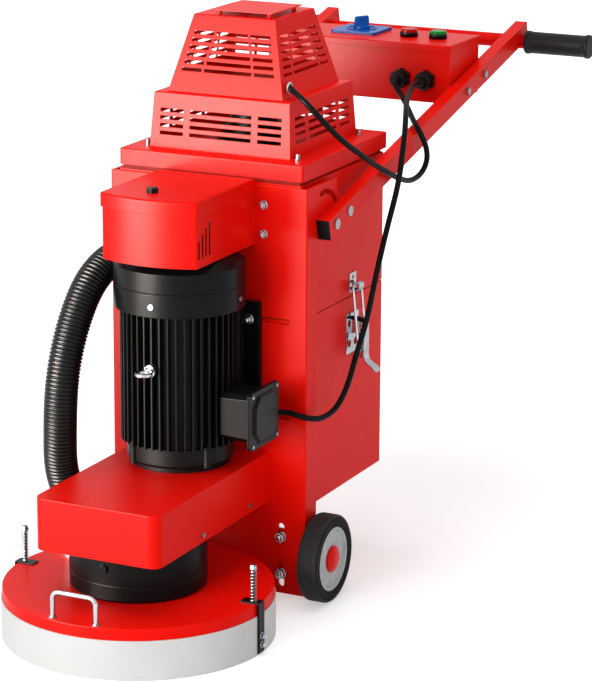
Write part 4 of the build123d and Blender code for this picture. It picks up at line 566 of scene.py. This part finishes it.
class GRINDER_OT_lay_leads(bpy.types.Operator):
    """Lays the two rubber leads from the control box to the suction motor and the grinding motor"""

    bl_idname = "grinder.lay_leads"
    bl_label = "Leads"

    def execute(self, context):
        lay_lead("vacuum_lead", VACUUM_LEAD_ROUTE, "vacuum_cable", 1.2)
        # Pale grommet where the lead goes through the hood's side
        hole = (0.1432, PLATE_FACE + 0.118, 1.137)
        lip = [(-0.003, 0.0128), (0, 0.0128), (0.0012, 0.012), (0.0014, 0.0098), (0.0008, 0.0084), (-0.003, 0.0084)]
        turned_piece("hood_grommet", lip, hole, RIGHT, 48, pale_grommet(), "chassis", "rubber")
        lay_lead("motor_lead", MOTOR_LEAD_ROUTE, "motor_cable", 2.4)
        return {"FINISHED"}


class GRINDER_OT_hang_hose(bpy.types.Operator):
    """Hangs the ribbed dust hose between the chassis plate and the grinding head"""

    bl_idname = "grinder.hang_hose"
    bl_label = "Dust hose"

    def execute(self, context):
        sizes = context.scene.grinder_sizes
        line = laid_line("dust_hose", HOSE_ROUTE)
        # One rib: a flat crest with rounded shoulders, then a narrow groove
        rib = (0.0, 0.72, 1.0, 1.0, 1.0, 1.0, 0.72, 0.0)
        points = evenly(line, sizes.rib_pitch / len(rib))
        crest = sizes.hose_diameter / 2
        valley = crest - sizes.rib_depth
        # Each end is a plain cuff for three ribs' length, under its clamp
        cuff, cuff_inset = 3 * len(rib), 0.0006
        radii = [crest - cuff_inset if i < cuff or i >= len(points) - cuff
                 else valley + rib[i % len(rib)] * sizes.rib_depth for i in range(len(points))]
        hose = new_piece("dust_hose", *skin(rings_along(points, radii, 56)), hose_plastic(), "chassis", "rubber")
        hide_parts("hose")
        return {"FINISHED"}


class GRINDER_OT_fit_springs(bpy.types.Operator):
    """Winds the two coil springs that press the floating skirt down"""

    bl_idname = "grinder.fit_springs"
    bl_label = "Skirt springs"

    def execute(self, context):
        sizes = context.scene.grinder_sizes
        low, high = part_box("skirt_springs")
        wire = sizes.spring_wire / 2
        turn_radius = sizes.spring_diameter / 2 - wire
        turns, per_turn = sizes.spring_turns, 28
        pitch, root, crest = 0.0014, 0.00405, 0.0045  # thread of the rods: spacing, and least and largest radius
        strap_inset, nut_heights, nut_flats, washer, stud = 0.004, (0.022, 0.042), 0.011, 0.0074, 0.003
        for name, sign, edge in (("left", -1, low.x), ("right", 1, high.x)):
            centre = Vector((edge - sign * sizes.spring_diameter / 2, (low.y + high.y) / 2, 0))
            points = []
            for i in range(turns * per_turn + 1):
                share = i / (turns * per_turn)
                # The last turn at each end lies flat against its neighbour
                flat = min(1.0, max(0.0, (share * turns - 0.5) / (turns - 1)))
                z = low.z + wire + (high.z - low.z - 2 * wire) * flat
                angle = 2 * pi * i / per_turn
                points.append(centre + Vector((turn_radius * cos(angle), turn_radius * sin(angle), z)))
            spring = new_piece(f"float_spring_{name}", *skin(rings_along(points, [wire] * len(points), 8)),
                               bright_zinc(), "chassis", "zinc")
            if name == "left":
                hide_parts("skirt_springs")
            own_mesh(spring)
            # Threaded rod up the middle of the spring
            thread = []
            for i in range(int((high.z - low.z) / pitch)):
                thread += [(i * pitch, root), (i * pitch + pitch / 2, crest)]
            new_piece(f"spring_rod_{name}", *skin(turned(thread, centre + Vector((0, 0, low.z)), UP, 20)),
                      black_oxide(), "chassis", "zinc")
            # Nuts on the two studs that hold the bracket's strap to the skirt
            strap = sign * (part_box("skirt_brackets")[1].x - strap_inset)
            for row, z in enumerate(nut_heights):
                nut_on_stud(f"strap_screw_{name}_{row}", (strap, centre.y, z), (sign, 0, 0), nut_flats, washer, stud,
                            "skirt_ring")
        return {"FINISHED"}


class GRINDER_OT_paint_panels(bpy.types.Operator):
    """Powder-coats the chassis, cabinet, hoods, belt housing, head cover, handle and control box"""

    bl_idname = "grinder.paint_panels"
    bl_label = "Painted panels"

    def execute(self, context):
        give_finish(("front_plate", "filter_housing", "dust_bin", "cabinet_lid", "hood_base", "hood", "cover_body",
                     "cover_lid", "belt_housing", "disc_cover", "axle_bracket", "handle_frame", "control_box",
                     "control_box_lid"), red_powder_coat())
        return {"FINISHED"}


class GRINDER_OT_finish_motor(bpy.types.Operator):
    """Finishes the grinding motor, its drive and the gear drum"""

    bl_idname = "grinder.finish_motor"
    bl_label = "Motor and drive"

    def execute(self, context):
        give_finish(("motor_housing",), black_cast_enamel())
        give_finish(("motor_cowl", "gear_drum", "skirt_brackets"), black_pressed_enamel())
        give_finish(("rotor_shaft", "head_spindle", "bearings", "planet_carrier"), turned_steel())
        give_finish(("planet_head_1", "planet_head_2", "planet_head_3", "drive_pulley"), cast_iron())
        give_finish(("stator",), wound_copper())
        give_finish(("drive_belts",), lead_rubber())
        return {"FINISHED"}


class GRINDER_OT_shape_latches(bpy.types.Operator):
    """Presses and drills the two toggle latches: base plates, cheeks, keepers and finger levers"""

    bl_idname = "grinder.shape_latches"
    bl_label = "Latches"

    def execute(self, context):
        # All in millimetres. Outlines are pairs of distance out from the cabinet's side and height.
        cabinet_half, latch_behind, sheet = 224, 276, 2.6
        cheek = ((0, 558), (0, 592), (22, 589), (33, 584), (36, 577), (35, 570), (28, 564), (14, 560))
        keeper = ((2.5, 655.5), (17, 655.5), (22.5, 658), (24, 664), (24, 673.5), (22.6, 675), (21, 673.5), (21, 665),
                  (19.5, 660.8), (15, 658.8), (2.5, 658.8))
        lever_side = ((23, 581), (30, 585), (37, 582), (38, 545), (37.5, 504), (30, 502), (22, 507), (20.5, 525),
                      (22, 558))
        # Down the lever's front and out along its finger tip: distance out, height and half width
        lever_front = ((36.5, 583, 11.5), (37, 560, 11.5), (37, 530, 11.5), (37, 508, 11.5), (38.5, 500, 12.2),
                       (42, 493, 12.9), (49, 487.5, 13.6), (57, 483, 14.3), (63, 478, 15), (67.5, 471.5, 12))
        # Each drilled plate: place along the cabinet and up, half size, and radius of its hole. The base plate is in
        # four quarters and the keeper's plate in two halves.
        drilled = [((y, z), (16, 23.5), 9) for z in (533.5, 580.5) for y in (-16, 16)]
        drilled += [((0, z), (17, 11), 5) for z in (664, 686)]
        # From and to along the cabinet
        cheek_sheets, lever_sheets = ((-17.5, -14.8), (14.8, 17.5)), ((-13.8, -11.2), (11.2, 13.8))
        keeper_span = (-12.5, 12.5)
        # Distance out, height, reach to each side, and radius
        lever_pin, bail_pin, half_thick = (30, 575, 18, 3), (28, 522, 26, 3), 1.2
        plates = []
        for side, word in ((-1, "left"), (1, "right")):
            middle = Vector((side * cabinet_half * MM, PLATE_FACE + latch_behind * MM, 0))

            def slab(outline, low, high):
                """A flat shape from one distance along the cabinet to another."""
                return skin([[middle + Vector((side * out * MM, y * MM, z * MM)) for out, z in outline]
                             for y in (low, high)])

            def pin(out, z, reach, radius):
                """A round pin along the cabinet, as far to each side as it reaches, with softened ends."""
                start = middle + Vector((side * out * MM, -reach * MM, z * MM))
                length, rim, soft = 2 * reach * MM, radius * MM, 0.0006
                return skin(turned([(0, rim * 0.8), (soft, rim), (length - soft, rim), (length, rim * 0.8)], start,
                                   BACK, 24))

            plates += [drilled_plate(middle, side, place, half, hole, sheet) for place, half, hole in drilled]
            plates += [slab(cheek, *span) for span in cheek_sheets]
            plates += [pin(*lever_pin), slab(keeper, *keeper_span)]
            strap = []
            for i, (out, z, wide) in enumerate(lever_front):
                ahead, behind = lever_front[min(i + 1, len(lever_front) - 1)], lever_front[max(i - 1, 0)]
                run = Vector((ahead[0] - behind[0], ahead[1] - behind[1])).normalized() * half_thick
                strap.append([middle + Vector((side * (out + run.y * face) * MM, y * MM, (z - run.x * face) * MM))
                              for face, y in ((1, wide), (-1, wide), (-1, -wide), (1, -wide))])
            lever = [slab(lever_side, *span) for span in lever_sheets] + [skin(strap), pin(*bail_pin)]
            handle = new_piece(f"latch_handle_{word}", *joined(*lever), chrome(), f"lever_{word}", "zinc",
                               smooth=False)
            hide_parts(f"latch_lever_{word}")
        base = new_piece("latch_bases", *joined(*plates), chrome(), "chassis", "zinc", smooth=False)
        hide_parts("latch_plates")
        return {"FINISHED"}


class GRINDER_OT_shape_terminal_box(bpy.types.Operator):
    """Casts the motor's terminal box: a body with cut corners, two flanges, a domed lid and a cable gland"""

    bl_idname = "grinder.shape_terminal_box"
    bl_label = "Terminal box"

    def execute(self, context):
        middle = Vector((0, PLATE_FACE - 0.133, 0.4635))
        gland_seat = Vector((0.165, PLATE_FACE - 0.0865, 0.440))
        rings = []
        # Distance from the machine's middle, half width, half height and cut corner
        for out, wide, tall, corner in (
            (0.122, 0.044, 0.052, 0.011), (0.1985, 0.047, 0.055, 0.011), (0.1985, 0.067, 0.0645, 0.006),
            (0.2028, 0.067, 0.0645, 0.006), (0.2028, 0.0645, 0.062, 0.006), (0.2042, 0.0645, 0.062, 0.006),
            (0.2042, 0.067, 0.0645, 0.006), (0.2082, 0.067, 0.0645, 0.006), (0.2082, 0.0575, 0.0555, 0.025),
            (0.2140, 0.0505, 0.0485, 0.021),
        ):
            corners = ((wide - corner, tall), (wide, tall - corner), (wide, corner - tall), (wide - corner, -tall),
                       (corner - wide, -tall), (-wide, corner - tall), (-wide, tall - corner), (corner - wide, tall))
            rings.append([middle + Vector((out, y, z)) for y, z in corners])
        nut = turned([(0, 0.0139), (0.0095, 0.0139), (0.0105, 0.0128)], gland_seat, BACK, 6)
        neck = turned([(0.01, 0.0112), (0.019, 0.0112), (0.0222, 0.0098), (0.0225, 0.0085)], gland_seat, BACK, 48)
        box = new_piece("terminal_casting", *joined(skin(rings), skin(nut), skin(neck)), black_pressed_enamel(),
                        "chassis", "black_paint", smooth=False)
        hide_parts("terminal_box")
        return {"FINISHED"}


class GRINDER_OT_finish_head(bpy.types.Operator):
    """Finishes the skirt, the lifting handle and the lifting eye"""

    bl_idname = "grinder.finish_head"
    bl_label = "Grinding head"

    def execute(self, context):
        give_finish(("skirt",), skirt_rubber())
        give_finish(("lifting_points",), chrome())
        return {"FINISHED"}


class GRINDER_OT_finish_hardware(bpy.types.Operator):
    """Plates the screws, latch bails, axle and hose bands, and adds the large nuts on the chassis plate"""

    bl_idname = "grinder.finish_hardware"
    bl_label = "Plated hardware"

    def execute(self, context):
        give_finish(("fasteners", "handle_bolts", "axle_and_bolts", "hose_ports"), bright_zinc())
        give_finish(("latch_bail_left", "latch_bail_right"), chrome())
        # Nuts on the intake cover, the motor's feet and the axle bracket's slots, in millimetres:
        # out from the middle, up, ahead of the plate, across the flats, washer's radius, stud's radius
        nuts = ((138.5, 899, 3, 15, 10.6, 4.4, "chassis"), (138.5, 834, 3, 15, 10.6, 4.4, "chassis"),
                (108, 641, 14, 18, 12.6, 5, "chassis"), (108, 424, 14, 18, 12.6, 5, "chassis"),
                (183, 143, 0, 19.6, 12.6, 6.2, "axle_carriage"), (183, 57, 0, 19.6, 12.6, 6.2, "axle_carriage"))
        for side, word in ((-1, "left"), (1, "right")):
            for row, (across, up, ahead, flats, washer, stud, body) in enumerate(nuts):
                nut_on_stud(f"nut_{word}_{row}", (side * across * MM, PLATE_FACE - ahead * MM, up * MM), FORWARD,
                            flats * MM, washer * MM, stud * MM, body)
        return {"FINISHED"}


class GRINDER_OT_make_wheels(bpy.types.Operator):
    """Moulds the grooved tyres and finishes the rims and hub caps"""

    bl_idname = "grinder.make_wheels"
    bl_label = "Wheels"

    def execute(self, context):
        give_finish(("rim_left", "rim_right"), grey_rim_plastic())
        give_finish(("hub_caps",), moulded_colour("moulded_cap_red", context.scene.grinder_colours.panels))
        groove = context.scene.grinder_sizes.tread_groove
        groove_places = (0.22, 0.31, 0.4, 0.49, 0.58, 0.67, 0.76)  # shares of the tyre's width
        shoulder_drop = 0.0045
        for side, sign in (("left", -1), ("right", 1)):
            low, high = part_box(f"tyre_{side}")
            rim_low, rim_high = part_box(f"rim_{side}")
            centre = (low + high) / 2
            width = high.x - low.x
            outer = (high.z - low.z) / 2
            bead = (rim_high.z - rim_low.z) / 2
            start = Vector((low.x if sign > 0 else high.x, centre.y, centre.z))
            # Across the tyre from its inner side: bead, side wall, rounded shoulder, grooved tread, and back
            profile = [(0.0012, bead), (0.0, bead + 0.004), (0.0, outer - 0.009), (0.0009, outer - 0.005),
                       (0.0032, outer - 0.0018), (0.006, outer - 0.0004), (0.008, outer)]
            for place in groove_places:
                along = width * place
                profile += [(along - 0.0007, outer), (along - 0.0003, outer - groove),
                            (along + 0.0003, outer - groove), (along + 0.0007, outer)]
            profile += [(width - 0.006, outer - 0.0004), (width - 0.0032, outer - 0.0018),
                        (width - 0.0009, outer - 0.005), (width, outer - 0.009), (width, bead + 0.008),
                        (width - 0.0012, bead + 0.0065), (width, bead + 0.005), (width, bead + 0.002),
                        (width - 0.0015, bead)]
            tyre = turned_piece(f"solid_tyre_{side}", profile, start, (sign, 0, 0), 96, tyre_rubber(),
                                f"wheel_{side}", "tyre")
            tyre.data.materials.append(worn_tread())
            for face in tyre.data.polygons:
                if (face.center - centre).yz.length > outer - shoulder_drop:
                    face.material_index = 1
            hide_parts(f"tyre_{side}")
        return {"FINISHED"}


class GRINDER_OT_finish_controls(bpy.types.Operator):
    """Finishes the switch plate, buttons, glands, seals, grip cores and the cover's knob"""

    bl_idname = "grinder.finish_controls"
    bl_label = "Controls and seals"

    def execute(self, context):
        give_finish(("switch_plate",), moulded_colour("moulded_blue", chosen().switch))
        give_finish(("stop_button",), moulded_colour("moulded_red", chosen().stop))
        give_finish(("start_button",), moulded_colour("moulded_green", chosen().start))
        give_finish(("box_fittings", "star_knob"), black_nylon())
        give_finish(("handle_grips",), lead_rubber())
        give_finish(("rubber_seals",), seal_silicone())
        return {"FINISHED"}


class GRINDER_OT_fit_main_switch(bpy.types.Operator):
    """Fits the main switch: a raised ring, a screw in each corner of its plate, and the finger bar"""

    bl_idname = "grinder.fit_main_switch"
    bl_label = "Main switch"

    def execute(self, context):
        blue = moulded_colour("moulded_blue", chosen().switch)
        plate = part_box("switch_plate")[1].z
        centre = Vector((-0.041, PLATE_FACE + 0.892, plate))
        ring = [(0, 0.037), (0.0012, 0.037), (0.002, 0.0362), (0.002, 0.0335), (0.0012, 0.0327), (0, 0.0327)]
        turned_piece("switch_ring", ring, centre, UP, 96, blue, "box_lid", "blue_plastic")
        screw_head = [(0, 0.0036), (0.0008, 0.0036), (0.0015, 0.0028), (0.0016, 0.0016), (0.0008, 0.0012)]
        screws = [skin(turned(screw_head, centre + Vector((across, back, 0)), UP, 24))
                  for across in (-0.0505, 0.0505) for back in (-0.0455, 0.0455)]
        new_piece("switch_screws", *joined(*screws), bright_zinc(), "box_lid", "zinc")
        # The finger bar is wider at its foot and turned a little off the machine's line
        turn, gap = Matrix.Rotation(radians(-28), 3, "Z"), 0.0003
        foot = Vector((centre.x, centre.y, plate + gap))
        bar = []
        # Height over the plate, half width and half length
        for up, wide, long in ((0.0068, 0.0085, 0.0205), (0.012, 0.0075, 0.0205), (0.026, 0.006, 0.0195),
                               (0.0288, 0.0052, 0.0185), (0.0297, 0.0038, 0.017)):
            corner, flat = long - 0.006, wide * 0.55
            ring = ((wide, corner), (flat, long), (-flat, long), (-wide, corner),
                    (-wide, -corner), (-flat, -long), (flat, -long), (wide, -corner))
            bar.append([foot + turn @ Vector((x, y, up)) for x, y in ring])
        base = turned([(0, 0.0208), (0.005, 0.0208), (0.0066, 0.0196), (0.007, 0.0175)], foot, UP, 64)
        knob = new_piece("switch_handle", *joined(skin(bar), skin(base)), blue, "switch_knob", "blue_plastic",
                         smooth=False)
        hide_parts("rotary_knob")
        return {"FINISHED"}


class GRINDER_OT_fit_button_collars(bpy.types.Operator):
    """Fits the black collars round the stop and start buttons"""

    bl_idname = "grinder.fit_button_collars"
    bl_label = "Button collars"

    def execute(self, context):
        lid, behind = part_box("control_box_lid")[1].z, 0.872
        collar = [(0, 0.0218), (0.0105, 0.0218), (0.0115, 0.0212), (0.0115, 0.0203), (0.0058, 0.0203),
                  (0.0058, 0.0125), (0, 0.0125)]
        for name, across in (("stop", 0.094), ("start", 0.170)):
            turned_piece(f"collar_{name}", collar, (across, PLATE_FACE + behind, lid), UP, 64, black_nylon(),
                         "box_lid", "black_plastic")
        return {"FINISHED"}


class GRINDER_OT_sleeve_grips(bpy.types.Operator):
    """Pulls a smooth rubber sleeve with a flange at each end over both grips"""

    bl_idname = "grinder.sleeve_grips"
    bl_label = "Grip sleeves"

    def execute(self, context):
        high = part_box("handle_grips")[1]
        length, core = 0.167, 0.029
        sleeve = [(0.0003, 0.0185), (0.0003, 0.0278), (0.0016, 0.0288), (0.0085, 0.0288), (0.0108, 0.0271),
                  (0.03, 0.0268), (0.148, 0.0268), (0.1545, 0.0274), (0.1562, 0.0292), (0.164, 0.0294),
                  (0.1664, 0.0282), (0.1668, 0.0262), (0.1668, 0.0247), (0.16, 0.0238), (0.004, 0.0238)]
        for word, sign in (("left", -1), ("right", 1)):
            start = (sign * (high.x - length), high.y - core, high.z - core)
            turned_piece(f"grip_sleeve_{word}", sleeve, start, (sign, 0, 0), 72, grip_rubber(), "handle", "rubber")
        return {"FINISHED"}


class GRINDER_OT_finish_collector(bpy.types.Operator):
    """Finishes the suction motor, its impeller and the filter inside the cabinet"""

    bl_idname = "grinder.finish_collector"
    bl_label = "Dust collector"

    def execute(self, context):
        give_finish(("impeller",), spun_aluminium())
        give_finish(("vacuum_motor",), black_pressed_enamel())
        give_finish(("filter_cartridge",), pleated_paper())
        return {"FINISHED"}


def seen_rays(tree):
    """1 for the rays that see the plain surroundings as they are: straight, mirrored or through something clear."""
    rays = add_node(tree, "ShaderNodeLightPath").outputs
    mirrored = add_node(tree, "ShaderNodeMath", {0: rays["Is Camera Ray"], 1: rays["Is Glossy Ray"]},
                        operation="MAXIMUM")
    return add_node(tree, "ShaderNodeMath", {0: mirrored.outputs[0], 1: rays["Is Transmission Ray"]},
                    operation="MAXIMUM").outputs[0]


def white_world():
    """A world that is white to look at and lights the machine with a dimmer, slightly cool daylight."""
    world = bpy.data.worlds.new("studio")
    tree = blank_tree(world)
    seen = seen_rays(tree)
    dim = add_node(tree, "ShaderNodeBackground", {"Color": (0.94, 0.96, 1.0, 1.0), "Strength": 0.4})
    white = add_node(tree, "ShaderNodeBackground", {"Color": (1.0, 1.0, 1.0, 1.0), "Strength": 1.0})
    both = add_node(tree, "ShaderNodeMixShader", {0: seen, 1: dim.outputs[0], 2: white.outputs[0]})
    add_node(tree, "ShaderNodeOutputWorld", {"Surface": both.outputs[0]})
    return world


def pale_floor():
    """A pale matt floor that keeps a soft shadow close to the machine and runs out to plain white around it."""
    shadow_reach, white_from, shadow_level = 0.7, 2.5, 0.45
    pale = bpy.data.materials.new("studio_floor")
    tree = blank_tree(pale)
    seen = seen_rays(tree)
    lit = add_node(tree, "ShaderNodeBsdfDiffuse", {"Color": (0.86, 0.86, 0.86, 1.0)})
    place = add_node(tree, "ShaderNodeNewGeometry").outputs["Position"]
    away = add_node(tree, "ShaderNodeVectorMath", {0: place}, operation="LENGTH").outputs["Value"]
    level = add_node(tree, "ShaderNodeMapRange", {"Value": away, "From Min": shadow_reach, "From Max": white_from,
                                                  "To Min": shadow_level, "To Max": 1.0}).outputs["Result"]
    share = add_node(tree, "ShaderNodeMath", {0: seen, 1: level}, operation="MULTIPLY").outputs[0]
    glow = add_node(tree, "ShaderNodeEmission", {"Color": (1.0, 1.0, 1.0, 1.0), "Strength": share})
    both = add_node(tree, "ShaderNodeAddShader", {0: lit.outputs[0], 1: glow.outputs[0]})
    add_node(tree, "ShaderNodeOutputMaterial", {"Surface": both.outputs[0]})
    return pale


def turned_toward(place, aim):
    """The rotation of a camera or lamp that stands at a place and looks at a point."""
    return (Vector(aim) - Vector(place)).to_track_quat("-Z", "Y").to_euler()


class GRINDER_OT_set_stage(bpy.types.Operator):
    """Sets the camera, the soft studio light and the pale floor"""

    bl_idname = "grinder.set_stage"
    bl_label = "Stage"

    def execute(self, context):
        scene = context.scene
        scene.view_settings.view_transform = "Standard"
        scene.world = white_world()

        # A long lens from ahead and to the right, above the motor, as for a catalogue view
        place, aim = (2.905, -5.828, 2.269), (0.08275, -0.28725, 0.5468)
        lens = bpy.data.cameras.new("camera")
        lens.lens = 153.7
        lens.sensor_width = lens.sensor_height = 36.0
        lens.sensor_fit = "VERTICAL"
        lens.shift_x, lens.shift_y = 0.0805, 0.0241
        lens.clip_end = 60.0
        camera = bpy.data.objects.new("camera", lens)
        scene.collection.objects.link(camera)
        camera.location = place
        camera.rotation_euler = turned_toward(place, aim)
        scene.camera = camera

        # The broad lamps fill. The low one is a warm sheen on the faces toward it and adds no other light.
        white, warm, machine_middle = (1.0, 1.0, 1.0), (1.0, 0.94, 0.86), (0, -0.2, 0.6)
        # Place, size, power, tint, whether it shows in gloss, and whether it lights matt surfaces
        for name, place, size, power, tint, in_gloss, on_matt in (
            ("key", (-0.9, -5.0, 1.5), 2.2, 140, white, True, True),
            ("side", (3.9, -1.7, 1.5), 2.4, 25, white, False, True),
            ("top", (-0.3, -0.4, 4.0), 2.4, 56, white, False, True),
            ("low", (-1.45, -2.85, 1.05), 1.7, 760, warm, True, False),
        ):
            light = bpy.data.lights.new(name, "AREA")
            light.energy, light.size, light.color = power, size, tint
            lamp = bpy.data.objects.new(name, light)
            lamp.location = place
            lamp.rotation_euler = turned_toward(place, machine_middle)
            lamp.visible_glossy, lamp.visible_diffuse = in_gloss, on_matt
            scene.collection.objects.link(lamp)

        reach = 9.0
        mesh = bpy.data.meshes.new("floor")
        mesh.from_pydata([(-reach, -reach, 0), (reach, -reach, 0), (reach, reach, 0), (-reach, reach, 0)], [],
                         [(0, 1, 2, 3)])
        mesh.materials.append(pale_floor())
        floor = bpy.data.objects.new("floor", mesh)
        scene.collection.objects.link(floor)
        return {"FINISHED"}


STEPS = (
    GRINDER_OT_set_stage,
    GRINDER_OT_lay_leads,
    GRINDER_OT_hang_hose,
    GRINDER_OT_fit_springs,
    GRINDER_OT_paint_panels,
    GRINDER_OT_finish_motor,
    GRINDER_OT_shape_latches,
    GRINDER_OT_shape_terminal_box,
    GRINDER_OT_finish_head,
    GRINDER_OT_finish_hardware,
    GRINDER_OT_make_wheels,
    GRINDER_OT_finish_controls,
    GRINDER_OT_fit_main_switch,
    GRINDER_OT_fit_button_collars,
    GRINDER_OT_sleeve_grips,
    GRINDER_OT_finish_collector,
)


class GRINDER_PT_sidebar(bpy.types.Panel):
    """Lists the grinder's pieces in the sidebar"""

    bl_idname = "GRINDER_PT_sidebar"
    bl_label = "Floor Grinder"
    bl_space_type = "VIEW_3D"
    bl_region_type = "UI"
    bl_category = "Floor Grinder"

    def draw(self, context):
        for group in (context.scene.grinder_sizes, context.scene.grinder_colours):
            for name in group.bl_rna.properties.keys():
                if name not in ("rna_type", "name"):
                    self.layout.prop(group, name)
        for step in STEPS:
            self.layout.operator(step.bl_idname)


CLASSES = (GrinderColours, GrinderSizes, *STEPS, GRINDER_PT_sidebar)


def register():
    for cls in CLASSES:
        bpy.utils.register_class(cls)
    bpy.types.Scene.grinder_colours = PointerProperty(type=GrinderColours)
    bpy.types.Scene.grinder_sizes = PointerProperty(type=GrinderSizes)


def unregister():
    del bpy.types.Scene.grinder_sizes
    del bpy.types.Scene.grinder_colours
    for cls in reversed(CLASSES):
        bpy.utils.unregister_class(cls)


def main():
    register()
    for step in STEPS:
        module, name = step.bl_idname.split(".")
        getattr(getattr(bpy.ops, module), name)()


if __name__ == "__main__":
    main()
